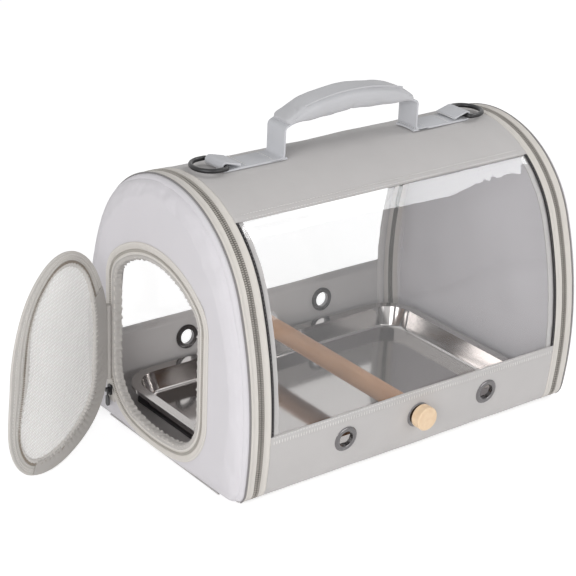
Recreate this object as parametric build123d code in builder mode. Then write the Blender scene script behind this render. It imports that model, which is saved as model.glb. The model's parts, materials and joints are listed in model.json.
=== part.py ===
from build123d import *
from math import asin, atan2, cos, degrees, hypot, radians, sin, sqrt
import os

# A soft-sided travel carrier for a small bird, in millimetres.
# X runs along the body, with the door end at -X. -Y is the front and +Z is up.
# The origin is the middle of the underside, on the surface that the carrier stands on.

os.makedirs("parts", exist_ok=True)

# ---- Body: a fabric tube with an arched roof ------------------------------------------
body_length = 400.0          # between the seams of the two end panels
body_width = 270.0           # at the widest height
body_height = 280.0
roof_radius = 120.0
widest_height = 75.0
corner_radius = 20.0         # where the walls turn under
fabric = 2.0                 # foam-lined fabric
running_gap = 0.3            # between soft pieces that move apart

# ---- Windows ---------------------------------------------------------------------------
window_sheet = 0.8           # clear vinyl
window_sill = 70.0           # height of the lower hem
window_roof_angle = 36.9     # upper hem, from the vertical, about the roof's centre
hem_lap = 8.0                # how far a hem laps over the vinyl
window_edging = 4.0          # tape down the vinyl's edges, along the arches
hem = fabric - window_sheet

# ---- Zip arch at each end -------------------------------------------------------------
zip_tape_width = 8.0         # each half of the tape
zip_tape = 1.4
coil_width = 2.85            # each half of the coil
coil_rise = 1.0              # coil above its tape
zip_foot = 6.0               # height at which the arch starts

# ---- Spring-steel hoop in its casing, at each end of the tube -------------------------
casing_width = 9.0
casing_depth = 4.0
hoop_width = 5.0
hoop_steel = 1.2
hoop_foot = 6.0              # the arch stands this high over the ground, clear of the floor

# ---- Floor ----------------------------------------------------------------------------
board = 2.8                  # stiff insert
board_side_gap = 3.0
board_seat_gap = 0.2
hinge_tongue_width = 190.0   # fabric that carries an end panel's foot
hinge_tongue = 1.6

# ---- End panels -----------------------------------------------------------------------
panel_depth = 14.0           # padded panel, from its seam to its flat face
panel_shoulder = 11.0
panel_inset = 1.5            # the panel is this much smaller than the tube
panel_foot = 2.2             # height of the panel's lower edge
piping_width = 2.4
piping_rise = 0.9

# ---- Door opening in the left panel ---------------------------------------------------
opening_half_width = 86.0
opening_foot = 9.0
opening_head = 215.0
opening_head_radius = 110.0
opening_foot_radius = 200.0
opening_top_corner = 40.0
opening_low_corner = 60.0
opening_tape_width = 15.5
opening_tape = 1.0
opening_coil_inset = 9.6
door_coil_width = 2.8
door_coil_rise = 1.2
opening_binding = 2.0        # gathered fabric round the reveal
zip_tail_width = 14.0
zip_tail_height = 24.0

# ---- Door ------------------------------------------------------------------------------
door_open_angle = 62.7       # how far it stands open at rest
door_hinge_y = 77.0
door_hinge_radius = 2.8      # rolled fabric that the door turns on
door_hinge_length = 78.0
door_hinge_foot = 52.0
door_edge_gap = 0.3          # from the rolled fabric to the door's edge
hinge_seam_width = 20.0      # strip along the hinge that has no zip
door_half_width = 84.0
door_near_edge = 0.5         # from the hinge's axis to where the door's outline begins
door_foot = 2.0              # the soft door hangs a little lower than its opening
door_head = 211.0
door_head_radius = 64.0
door_foot_radius = 115.0
door_top_flare = 14.0        # the shoulder's radius is this much over half the width
door_low_corner = 62.0
door_coil_gap = 0.4
door_thickness = 3.0
door_tape = 2.0
door_tape_width = 13.0
door_binding_width = 6.0
door_coil_inset = 10.0
net_thickness = 0.8
net_hole = 5.0               # across the flats of a square gap, set on its corner
net_pitch = 11.6             # between gaps of one row
net_border = 5.0             # from the binding to the outermost gap's middle

# ---- Eyelets and perch -----------------------------------------------------------------
eyelet_height = 42.0
eyelet_spacing = 89.0
eyelet_bore = 8.0            # radius
eyelet_barrel = 0.8
eyelet_flange_radius = 13.0
eyelet_flange_rise = 1.4
eyelet_tail = 3.8
washer = 1.2
washer_gap = 0.3             # room for the wall's curve under the washer
perch_height = 43.0
perch_radius = 10.0
perch_half_length = 128.0
tenon_radius = 6.0
stud_radius = 3.0
stud_clearance = 0.08
stud_in_dowel = 14.0
stud_in_knob = 8.0
knob_radius = 12.0
knob_length = 11.2
knob_stand_off = 3.4         # from the wall to the dowel's shoulder
knob_gap = 0.3               # from the shoulder to the knob
knob_chamfer = 1.0
knob_groove = 0.6

# ---- Tray ------------------------------------------------------------------------------
tray_length = 366.0
tray_width = 234.0
tray_corner = 38.0
tray_rim_width = 10.0
tray_rim_height = 27.0
tray_steel = 0.8
tray_draft = 6.0             # how far the wall leans in from rim to floor
tray_lip = 3.0               # the rim's turned-down edge
tray_floor_fillet = 4.0

# ---- Carrying strap, handle and D-rings -----------------------------------------------
webbing_width = 28.0
webbing = 2.0
riser_x = 81.0               # middle of each riser
riser_foot_gap = 0.4
riser_foot_radius = 5.0      # the foot is rounded about the line that the handle leans on
riser_taper = 9.0            # from that line to the full width
handle_rise = 45.0           # from the ridge to the webbing's middle at the top of the arch
handle_radius = 225.0
handle_corner = 5.0
grip_half_length = 62.0
grip_width = 32.0
grip_thickness = 24.0
grip_corner = 9.0
grip_cover = 1.6
grip_end_fillet = 5.0
strap_overrun = 2.0          # strap past the riser
ring_bar_x = 148.0
ring_wire = 4.6              # diameter
ring_inner_width = 31.0
ring_leg = 8.0
ring_corner = 3.5            # where the bar turns into a leg
loop_clearance = 0.3         # radial, from the bar to its loop
loop_tail = 20.0             # the loop's upper ply, sewn back on the strap

# ---- Zip sliders -----------------------------------------------------------------------
end_slider_width = 9.4
door_slider_width = 6.4
slider_length = 11.0
slider_corner = 1.7
slider_plate = 1.4
slider_lift = 0.3
slider_ear = 1.3
slider_ear_gap = 2.0         # between the ears
slider_ear_length = 4.0
pin_radius = 0.8
pin_clearance = 0.08
pin_rise = 1.9               # pin above the slider's plate
pull_width = 5.8
pull_corner = 2.7
pull_length = 17.0
pull_neck_width = 1.6
pull_neck_length = 5.5
pull_thickness = 1.4
pull_eye_radius = 1.7
end_slider_height = 24.5     # of the parked slider's middle
door_slider_height = 38.5
door_slider_y = 77.5

# ---- Places worked out from the sizes above -------------------------------------------
half_length = body_length / 2
end_face = half_length + panel_depth
roof_centre = body_height - roof_radius
side_reach = body_width / 2 - roof_radius
side_drop = roof_centre - widest_height
side_radius = (side_drop**2 + body_width**2 / 4 - roof_radius**2) / (2 * side_reach)
side_centre = side_radius - body_width / 2
roof_start = degrees(atan2(side_drop, side_centre))
corner_drop = widest_height - corner_radius
corner_y = sqrt((side_radius - corner_radius) ** 2 - corner_drop**2) - side_centre
corner_start = -degrees(asin(corner_drop / (side_radius - corner_radius)))

coil_middle = half_length - zip_tape_width - coil_width - running_gap / 2
body_coil_end = coil_middle - running_gap / 2
panel_coil_start = coil_middle + running_gap / 2
body_tape_end = body_coil_end - coil_width
panel_tape_start = panel_coil_start + coil_width
tube_end = body_tape_end - zip_tape_width
handle_height = body_height + handle_rise
far = 2 * body_height


def label_and_export(part, name):
    part.label = name
    export_step(part, f"parts/{name}.step")


def tube_section(inset=0.0):
    """The tube's outline in its YZ plane, this far inside the outer skin."""
    with BuildSketch() as outline:
        with BuildLine():
            Line((0, inset), (corner_y, inset))
            CenterArc((corner_y, corner_radius), corner_radius - inset, -90, 90 + corner_start)
            CenterArc((-side_centre, widest_height), side_radius - inset, corner_start,
                      roof_start - corner_start)
            CenterArc((0, roof_centre), roof_radius - inset, roof_start, 90 - roof_start)
            mirror(about=Plane.YZ)
        make_face()
    return outline.sketch


def wedge(angle):
    """The sector of the section that lies within this angle of the ridge."""
    reach_y = far * sin(radians(angle))
    reach_z = roof_centre + far * cos(radians(angle))
    with BuildSketch() as sector:
        with BuildLine():
            Polyline((0, roof_centre), (reach_y, reach_z), (-reach_y, reach_z), close=True)
        make_face()
    return sector.sketch


def region(y_low, y_high, z_low, z_high):
    """A rectangle of the section between these two widths and heights."""
    with BuildSketch(Plane.XY) as rectangle:
        with Locations(((y_low + y_high) / 2, (z_low + z_high) / 2)):
            Rectangle(y_high - y_low, z_high - z_low)
    return rectangle.sketch


def skin(outer, inner):
    """The layer of the tube's wall between two insets."""
    with BuildSketch() as layer:
        add(tube_section(outer))
        add(tube_section(inner), mode=Mode.SUBTRACT)
    return layer.sketch


def wall_point(height, inset=0.0):
    """Distance of the side wall from the middle plane at a height."""
    return sqrt((side_radius - inset) ** 2 - (height - widest_height) ** 2) - side_centre


# ---- Fabric tube -----------------------------------------------------------------------
hem_angle = degrees(hem_lap / roof_radius)
lap_angle = window_roof_angle - hem_angle

with BuildPart() as roof_panel:
    with BuildSketch(Plane.YZ.offset(-tube_end)):
        add(skin(0, fabric))
        add(wedge(lap_angle), mode=Mode.INTERSECT)
    extrude(amount=2 * tube_end)
    with BuildSketch(Plane.YZ.offset(-tube_end)):
        add(skin(0, hem))
        add(wedge(window_roof_angle), mode=Mode.INTERSECT)
    extrude(amount=2 * tube_end)
label_and_export(roof_panel.part, "roof_panel")

for side, place in ((-1, "front"), (1, "rear")):
    low_y, high_y = sorted((side * corner_y, side * far))
    eyelet_y = side * wall_point(eyelet_height)
    lean = degrees(asin((eyelet_height - widest_height) / side_radius))
    eyelet_out = Vector(0, side * cos(radians(lean)), sin(radians(lean)))

    with BuildPart() as wall_band:
        with BuildSketch(Plane.YZ.offset(-tube_end)):
            add(skin(0, fabric))
            add(region(low_y, high_y, -far, window_sill - hem_lap), mode=Mode.INTERSECT)
        extrude(amount=2 * tube_end)
        with BuildSketch(Plane.YZ.offset(-tube_end)):
            add(skin(0, hem))
            add(region(low_y, high_y, -far, window_sill), mode=Mode.INTERSECT)
        extrude(amount=2 * tube_end)
        for column in (-1, 0, 1):
            centre = Vector(column * eyelet_spacing, eyelet_y, eyelet_height)
            hole_start = Plane(centre + eyelet_out * fabric, x_dir=(1, 0, 0), z_dir=eyelet_out)
            with BuildSketch(hole_start):
                Circle(eyelet_bore + eyelet_barrel)
            extrude(amount=-3 * fabric, mode=Mode.SUBTRACT)
    label_and_export(wall_band.part, f"{place}_band")

    with BuildPart() as window:
        with BuildSketch(Plane.YZ.offset(-tube_end)):
            add(skin(hem, fabric))
            add(region(*sorted((0, side * far)), window_sill - hem_lap, far), mode=Mode.INTERSECT)
            add(wedge(lap_angle), mode=Mode.SUBTRACT)
        extrude(amount=2 * tube_end)
    label_and_export(window.part, f"{place}_window")

    with BuildPart() as edging:
        for start in (-tube_end, tube_end - window_edging):
            with BuildSketch(Plane.YZ.offset(start)):
                add(skin(0, hem))
                add(region(*sorted((0, side * far)), window_sill, far), mode=Mode.INTERSECT)
                add(wedge(window_roof_angle), mode=Mode.SUBTRACT)
            extrude(amount=window_edging)
    label_and_export(edging.part, f"{place}_window_edging")

    # Eyelets: a rolled ring outside and a flat washer inside.
    for column, station in ((-1, "left"), (0, "middle"), (1, "right")):
        centre = Vector(column * eyelet_spacing, eyelet_y, eyelet_height)
        across = Plane(centre, x_dir=(1, 0, 0), z_dir=eyelet_out)
        profile = Plane(centre, x_dir=(1, 0, 0), z_dir=across.y_dir * -1)
        barrel_radius = eyelet_bore + eyelet_barrel
        crown_radius = (eyelet_bore + eyelet_flange_radius) / 2
        washer_top = -fabric - washer_gap
        with BuildPart() as eyelet:
            with BuildSketch(profile):
                with BuildLine():
                    Polyline((eyelet_bore, eyelet_flange_rise / 2), (eyelet_bore, -eyelet_tail),
                             (barrel_radius, -eyelet_tail), (barrel_radius, 0),
                             (eyelet_flange_radius, 0))
                    ThreePointArc((eyelet_flange_radius, 0), (crown_radius, eyelet_flange_rise),
                                  (eyelet_bore, eyelet_flange_rise / 2))
                make_face()
            revolve(axis=Axis(centre, eyelet_out))
            with BuildSketch(across.offset(washer_top - washer)):
                Circle(eyelet_flange_radius)
                Circle(barrel_radius, mode=Mode.SUBTRACT)
            extrude(amount=washer)
        label_and_export(eyelet.part, f"eyelet_{place}_{station}")

# The base runs under the zip arches, and a tongue at each end carries the panel's foot.
with BuildPart() as base_fabric:
    with BuildSketch(Plane.YZ.offset(-tube_end)):
        add(skin(0, fabric))
        add(region(-corner_y, corner_y, -far, corner_radius), mode=Mode.INTERSECT)
    extrude(amount=2 * tube_end)
    for start in (-half_length + running_gap, tube_end):
        with BuildSketch(Plane.YZ.offset(start)):
            add(skin(0, fabric))
            add(region(-far, far, -far, zip_foot - running_gap), mode=Mode.INTERSECT)
        extrude(amount=half_length - running_gap - tube_end)
    tongue_length = 2 * (end_face - running_gap)
    Box(tongue_length, hinge_tongue_width, hinge_tongue, align=(Align.CENTER, Align.CENTER, Align.MIN))
label_and_export(base_fabric.part, "base_fabric")

hoop_inset = fabric + (casing_depth - hoop_steel) / 2
with BuildPart() as base_board:
    board_length = 2 * (tube_end - casing_width - board_seat_gap)
    board_width = 2 * (corner_y - board_side_gap)
    with BuildSketch(Plane.XY.offset(fabric)):
        RectangleRounded(board_length, board_width, corner_radius / 2)
    extrude(amount=board)
label_and_export(base_board.part, "base_board")

for side, place in ((-1, "left"), (1, "right")):
    casing_start = min(side * tube_end, side * (tube_end - casing_width))
    hoop_middle = side * (tube_end - casing_width / 2)
    with BuildPart() as casing:
        with BuildSketch(Plane.YZ.offset(casing_start)):
            add(skin(fabric, fabric + casing_depth))
            add(region(-far, far, hoop_foot, far), mode=Mode.INTERSECT)
        extrude(amount=casing_width)
        with BuildSketch(Plane.YZ.offset(hoop_middle - hoop_width / 2)):
            add(skin(hoop_inset, hoop_inset + hoop_steel))
        extrude(amount=hoop_width, mode=Mode.SUBTRACT)
    label_and_export(casing.part, f"{place}_hoop_casing")

    with BuildPart() as hoop:
        with BuildSketch(Plane.YZ.offset(hoop_middle - hoop_width / 2)):
            add(skin(hoop_inset, hoop_inset + hoop_steel))
            add(region(-far, far, hoop_foot, far), mode=Mode.INTERSECT)
        extrude(amount=hoop_width)
    label_and_export(hoop.part, f"{place}_hoop")

    # Both halves of the zip stand as arches over the same foot height.
    zip_strips = (("body_zip_tape", tube_end, body_tape_end, 0, zip_tape),
                  ("body_zip_coil", body_tape_end, body_coil_end, -coil_rise, zip_tape),
                  ("panel_zip_coil", panel_coil_start, panel_tape_start, -coil_rise, zip_tape),
                  ("panel_zip_tape", panel_tape_start, half_length, 0, zip_tape))
    for name, near_x, far_x, outer, inner in zip_strips:
        with BuildPart() as strip:
            with BuildSketch(Plane.YZ.offset(min(side * near_x, side * far_x))):
                add(skin(outer, inner))
                add(region(-far, far, zip_foot, far), mode=Mode.INTERSECT)
            extrude(amount=far_x - near_x)
        label_and_export(strip.part, f"{place}_{name}")

    seam_plane = Plane.YZ.offset(half_length) if side > 0 else Plane.YZ.offset(-half_length)
    with BuildPart() as piping:
        with BuildSketch(seam_plane):
            add(skin(-piping_rise, panel_inset))
            add(region(-far, far, panel_foot, far), mode=Mode.INTERSECT)
        extrude(amount=side * piping_width)
        outer_edges = piping.faces().sort_by(Axis.X)[0 if side < 0 else -1].outer_wire().edges()
        fillet(outer_edges.filter_by(lambda e: e.center().Z > panel_foot + piping_rise), piping_rise)
    label_and_export(piping.part, f"{place}_piping")


# ---- End panels ------------------------------------------------------------------------
def rounded_arch(shape, inset=0.0):
    """A door-shaped outline, this far inside its outer edge."""
    half_width, foot, head, head_radius, foot_radius, top_corner, low_corner = shape
    head_centre = head - head_radius
    foot_centre = foot + foot_radius
    top_corner_y = half_width - top_corner
    low_corner_y = half_width - low_corner
    head_side = 1 if head_radius > top_corner else -1
    head_lift = sqrt((head_radius - top_corner) ** 2 - top_corner_y**2)
    top_corner_z = head_centre + head_side * head_lift
    low_corner_z = foot_centre - sqrt((foot_radius - low_corner) ** 2 - low_corner_y**2)
    top_angle = degrees(atan2(head_lift, head_side * top_corner_y))
    low_angle = degrees(atan2(low_corner_z - foot_centre, low_corner_y))
    edge_y = half_width - inset
    with BuildSketch() as outline:
        with BuildLine():
            CenterArc((0, foot_centre), foot_radius - inset, -90, 90 + low_angle)
            CenterArc((low_corner_y, low_corner_z), low_corner - inset, low_angle, -low_angle)
            Line((edge_y, low_corner_z), (edge_y, top_corner_z))
            CenterArc((top_corner_y, top_corner_z), top_corner - inset, 0, top_angle)
            CenterArc((0, head_centre), head_radius - inset, top_angle, 90 - top_angle)
            mirror(about=Plane.YZ)
        make_face()
    return outline.sketch


opening_shape = (opening_half_width, opening_foot, opening_head, opening_head_radius,
                 opening_foot_radius, opening_top_corner, opening_low_corner)


def opening_ring(outer, inner):
    """The band of the opening's surround between two insets."""
    with BuildSketch() as ring:
        add(rounded_arch(opening_shape, outer))
        add(rounded_arch(opening_shape, inner), mode=Mode.SUBTRACT)
    return ring.sketch


def padded_panel(side):
    """A padded end panel with a rounded shoulder."""
    with BuildPart() as pad:
        with BuildSketch(Plane.YZ.offset(side * half_length)):
            add(tube_section(panel_inset))
            add(region(-far, far, panel_foot, far), mode=Mode.INTERSECT)
        extrude(amount=side * panel_depth)
        face = pad.faces().sort_by(Axis.X)[0 if side < 0 else -1]
        fillet(face.edges(), panel_shoulder)
    return pad.part


with BuildPart() as left_panel:
    add(padded_panel(-1))
    with BuildSketch(Plane.YZ.offset(-half_length)):
        add(rounded_arch(opening_shape, opening_tape_width))
    extrude(amount=-panel_depth, mode=Mode.SUBTRACT)
label_and_export(left_panel.part, "left_panel")

right_panel = padded_panel(1)
label_and_export(right_panel, "right_panel")

tape_face = -end_face - opening_tape
with BuildPart() as opening_zip_tape:
    with BuildSketch(Plane.YZ.offset(-end_face)):
        add(opening_ring(0, opening_tape_width))
        with Locations((door_slider_y, door_slider_height)):
            Rectangle(zip_tail_width, zip_tail_height)
    extrude(amount=-opening_tape)
label_and_export(opening_zip_tape.part, "opening_zip_tape")

hinge_seam_foot = door_hinge_foot - running_gap
hinge_seam_head = door_hinge_foot + door_hinge_length + running_gap
with BuildPart() as opening_zip_coil:
    with BuildSketch(Plane.YZ.offset(tape_face)):
        add(opening_ring(opening_coil_inset, opening_coil_inset + door_coil_width))
        add(region(door_hinge_y - hinge_seam_width / 2, door_hinge_y + hinge_seam_width / 2,
                   hinge_seam_foot, hinge_seam_head), mode=Mode.SUBTRACT)
    extrude(amount=-door_coil_rise)
label_and_export(opening_zip_coil.part, "opening_zip_coil")

with BuildPart() as reveal_binding:
    with BuildSketch(Plane.YZ.offset(-half_length)):
        add(opening_ring(opening_tape_width, opening_tape_width + opening_binding))
    extrude(amount=-panel_depth - opening_tape)
label_and_export(reveal_binding.part, "opening_binding")

# ---- Door ------------------------------------------------------------------------------
hinge_x = tape_face - door_hinge_radius
with BuildPart() as door_hinge:
    with BuildSketch(Plane.XY.offset(door_hinge_foot)):
        with Locations((hinge_x, door_hinge_y)):
            Circle(door_hinge_radius)
    extrude(amount=door_hinge_length)
label_and_export(door_hinge.part, "door_hinge")

# In the door's plane, x is the distance from the hinge and y is the height.
open_sin = sin(radians(door_open_angle))
open_cos = cos(radians(door_open_angle))
door_plane = Plane((hinge_x, door_hinge_y, 0), x_dir=(-open_sin, -open_cos, 0),
                   z_dir=(-open_cos, open_sin, 0))
coil_stack = 2 * door_coil_rise + door_coil_gap
door_inner = coil_stack - door_hinge_radius
door_edge = door_hinge_radius + door_edge_gap
door_shape = (door_half_width, door_foot, door_head, door_head_radius, door_foot_radius,
              door_half_width + door_top_flare, door_low_corner)
door_middle = door_near_edge + door_half_width


def door_sketch(outer, inner=None):
    """The door within one inset, or its band between two, cut off at the hinge."""
    with BuildSketch() as outline:
        with Locations((door_middle, 0)):
            add(rounded_arch(door_shape, outer))
            if inner is not None:
                add(rounded_arch(door_shape, inner), mode=Mode.SUBTRACT)
        add(region(door_edge, far, -far, far), mode=Mode.INTERSECT)
    return outline.sketch


with BuildPart() as door_zip_tape:
    with BuildSketch(door_plane.offset(door_inner)):
        add(door_sketch(0, door_tape_width))
    extrude(amount=door_tape)
label_and_export(door_zip_tape.part, "door_zip_tape")

with BuildPart() as door_zip_coil:
    with BuildSketch(door_plane.offset(door_inner)):
        add(door_sketch(door_coil_inset, door_coil_inset + door_coil_width))
        add(region(0, hinge_seam_width, hinge_seam_foot, hinge_seam_head), mode=Mode.SUBTRACT)
    extrude(amount=-door_coil_rise)
label_and_export(door_zip_coil.part, "door_zip_coil")

net_edge = door_tape_width + door_binding_width
with BuildPart() as door_binding:
    with BuildSketch(door_plane.offset(door_inner)):
        add(door_sketch(door_tape_width, net_edge))
    extrude(amount=door_thickness)
label_and_export(door_binding.part, "door_binding")

# The net's square gaps stand on their corners, in rows that are set off by half a pitch.
net_middle = (door_foot + door_head) / 2
net_reach = rounded_arch(door_shape, net_edge + net_border)
half_rows = int(door_head / net_pitch)
gap_places = []
for row in range(-half_rows, half_rows + 1):
    for column in range(-half_rows, half_rows + 1):
        gap_u = (column + 0.5 * (row % 2)) * net_pitch
        gap_z = row * net_pitch / 2 + net_middle
        if net_reach.face().is_inside((gap_u, gap_z, 0)):
            gap_places.append((gap_u + door_middle, gap_z))
with BuildPart() as door_net:
    with BuildSketch(door_plane.offset(door_inner + (door_thickness - net_thickness) / 2)):
        add(door_sketch(net_edge))
        with Locations(*gap_places):
            Rectangle(net_hole, net_hole, rotation=45, mode=Mode.SUBTRACT)
    extrude(amount=net_thickness)
label_and_export(door_net.part, "door_net")
print("gaps in the door's net:", len(gap_places))


# ---- Zip sliders and their pulls -------------------------------------------------------
def zip_slider(plane, width, wall_side=0, wall_drop=0.0):
    """A slider whose plane lies on the coil: x across the track and y along it."""
    plate_top = slider_lift + slider_plate
    pin_height = plate_top + pin_rise
    with BuildPart() as slider:
        with BuildSketch(plane.offset(slider_lift)):
            RectangleRounded(width, slider_length, slider_corner)
        extrude(amount=slider_plate)
        if wall_side:
            with BuildSketch(plane.offset(slider_lift)):
                with Locations((wall_side * (width - slider_ear) / 2, 0)):
                    Rectangle(slider_ear, slider_length / 2)
            extrude(amount=-wall_drop)
        ear_offset = (slider_ear_gap + slider_ear) / 2
        with BuildSketch(plane.offset(plate_top)):
            with Locations((-ear_offset, 0), (ear_offset, 0)):
                Rectangle(slider_ear, slider_ear_length)
        extrude(amount=pin_rise + 2 * pin_radius)
        pin_plane = Plane(plane.origin + plane.z_dir * pin_height, x_dir=plane.y_dir, z_dir=plane.x_dir)
        with BuildSketch(pin_plane.offset(-slider_ear_gap / 2 - slider_ear / 2)):
            Circle(pin_radius)
        extrude(amount=slider_ear_gap + slider_ear)
    return slider.part


def zip_pull(pin_plane):
    """A pull whose plane holds the pin's middle: x along the pin and y down the pull."""
    with BuildPart() as pull:
        with BuildSketch(pin_plane.offset(-pull_thickness / 2)):
            with Locations((0, pull_neck_length / 2)):
                Rectangle(pull_neck_width, pull_neck_length)
            with Locations((0, (pull_neck_length + pull_length) / 2)):
                RectangleRounded(pull_width, pull_length - pull_neck_length, pull_corner)
        extrude(amount=pull_thickness)
        eye_plane = Plane(pin_plane.origin, x_dir=pin_plane.y_dir, z_dir=pin_plane.x_dir)
        with BuildSketch(eye_plane.offset(-pull_neck_width / 2)):
            Circle(pull_eye_radius)
        extrude(amount=pull_neck_width)
        with BuildSketch(eye_plane.offset(-pull_width)):
            Circle(pin_radius + pin_clearance)
        extrude(amount=2 * pull_width, mode=Mode.SUBTRACT)
    return pull.part


pin_above_plane = slider_lift + slider_plate + pin_rise
park_lean = asin((end_slider_height - widest_height) / side_radius)
for side, place in ((-1, "left"), (1, "right")):
    park_radius = side_radius + coil_rise
    park = Vector(side * coil_middle, park_radius * cos(park_lean) - side_centre,
                  widest_height + park_radius * sin(park_lean))
    outward = Vector(0, cos(park_lean), sin(park_lean))
    slider_plane = Plane(park, x_dir=(side, 0, 0), z_dir=outward)
    label_and_export(zip_slider(slider_plane, end_slider_width, -1, coil_rise), f"{place}_zip_slider")
    pull_plane = Plane(park + outward * pin_above_plane, x_dir=(1, 0, 0), z_dir=(0, 1, 0))
    label_and_export(zip_pull(pull_plane), f"{place}_zip_pull")

door_park = Vector(tape_face, door_slider_y, door_slider_height)
door_slider_plane = Plane(door_park, x_dir=(0, 1, 0), z_dir=(-1, 0, 0))
label_and_export(zip_slider(door_slider_plane, door_slider_width), "door_zip_slider")
door_pull_plane = Plane(door_park + Vector(-pin_above_plane, 0, 0), x_dir=(0, 1, 0), z_dir=(-1, 0, 0))
label_and_export(zip_pull(door_pull_plane), "door_zip_pull")

# ---- Perch -----------------------------------------------------------------------------
knob_inner = wall_point(perch_height) + knob_stand_off
with BuildPart() as perch_dowel:
    with BuildSketch(Plane.XZ.offset(-perch_half_length)):
        with Locations((0, perch_height)):
            Circle(perch_radius)
    extrude(amount=2 * perch_half_length)
    with BuildSketch(Plane.XZ.offset(-knob_inner)):
        with Locations((0, perch_height)):
            Circle(tenon_radius)
    extrude(amount=2 * knob_inner)
    for start in (-knob_inner, knob_inner - stud_in_dowel):
        with BuildSketch(Plane.XZ.offset(start)):
            with Locations((0, perch_height)):
                Circle(stud_radius)
        extrude(amount=stud_in_dowel, mode=Mode.SUBTRACT)
label_and_export(perch_dowel.part, "perch_dowel")

with BuildPart() as perch_studs:
    for start in (-knob_inner - stud_in_knob, knob_inner - stud_in_dowel):
        with BuildSketch(Plane.XZ.offset(start)):
            with Locations((0, perch_height)):
                Circle(stud_radius)
        extrude(amount=stud_in_dowel + stud_in_knob)
label_and_export(perch_studs.part, "perch_studs")

for side, place in ((-1, "front"), (1, "rear")):
    inner_y = knob_inner + knob_gap
    outer_y = knob_inner + knob_length
    groove_y = inner_y + knob_length / 3
    with BuildPart() as knob:
        with BuildSketch(Plane.YZ):
            with BuildLine():
                Polyline((side * inner_y, perch_height),
                         (side * inner_y, perch_height + knob_radius - knob_chamfer),
                         (side * (inner_y + knob_chamfer), perch_height + knob_radius),
                         (side * (groove_y - knob_groove), perch_height + knob_radius),
                         (side * groove_y, perch_height + knob_radius - knob_groove),
                         (side * (groove_y + knob_groove), perch_height + knob_radius),
                         (side * (outer_y - knob_chamfer), perch_height + knob_radius),
                         (side * outer_y, perch_height + knob_radius - knob_chamfer),
                         (side * outer_y, perch_height), close=True)
            make_face()
        revolve(axis=Axis((0, 0, perch_height), (0, 1, 0)))
        with BuildSketch(Plane.XZ.offset(-side * inner_y)):
            with Locations((0, perch_height)):
                Circle(stud_radius + stud_clearance)
        extrude(amount=-side * (stud_in_knob + knob_gap), mode=Mode.SUBTRACT)
    label_and_export(knob.part, f"{place}_knob")

# ---- Tray ------------------------------------------------------------------------------
tray_floor = fabric + board
inner_length = tray_length - 2 * tray_rim_width
inner_width = tray_width - 2 * tray_rim_width
inner_corner = tray_corner - tray_rim_width
rim_under = tray_rim_height - tray_steel


def tray_rectangle(shrink):
    RectangleRounded(inner_length - 2 * shrink, inner_width - 2 * shrink, inner_corner - shrink / 2)


with BuildPart() as tray_hollow:
    with BuildSketch(Plane.XY.offset(tray_floor + tray_steel)):
        tray_rectangle(tray_draft)
    with BuildSketch(Plane.XY.offset(tray_rim_height)):
        tray_rectangle(0)
    loft()
    fillet(tray_hollow.faces().sort_by(Axis.Z)[0].edges(), tray_floor_fillet - tray_steel)

with BuildPart() as tray:
    with BuildSketch(Plane.XY.offset(tray_floor)):
        tray_rectangle(tray_draft - tray_steel)
    with BuildSketch(Plane.XY.offset(rim_under)):
        tray_rectangle(-tray_steel)
    loft()
    with BuildSketch(Plane.XY.offset(rim_under)):
        RectangleRounded(tray_length, tray_width, tray_corner)
    extrude(amount=tray_steel)
    with BuildSketch(Plane.XY.offset(rim_under)):
        RectangleRounded(tray_length, tray_width, tray_corner)
        RectangleRounded(tray_length - 2 * tray_steel, tray_width - 2 * tray_steel,
                         tray_corner - tray_steel, mode=Mode.SUBTRACT)
    extrude(amount=-tray_lip)
    fillet(tray.faces().sort_by(Axis.Z)[0].edges(), tray_floor_fillet)
    add(tray_hollow.part, mode=Mode.SUBTRACT)
label_and_export(tray.part, "tray")

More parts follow.
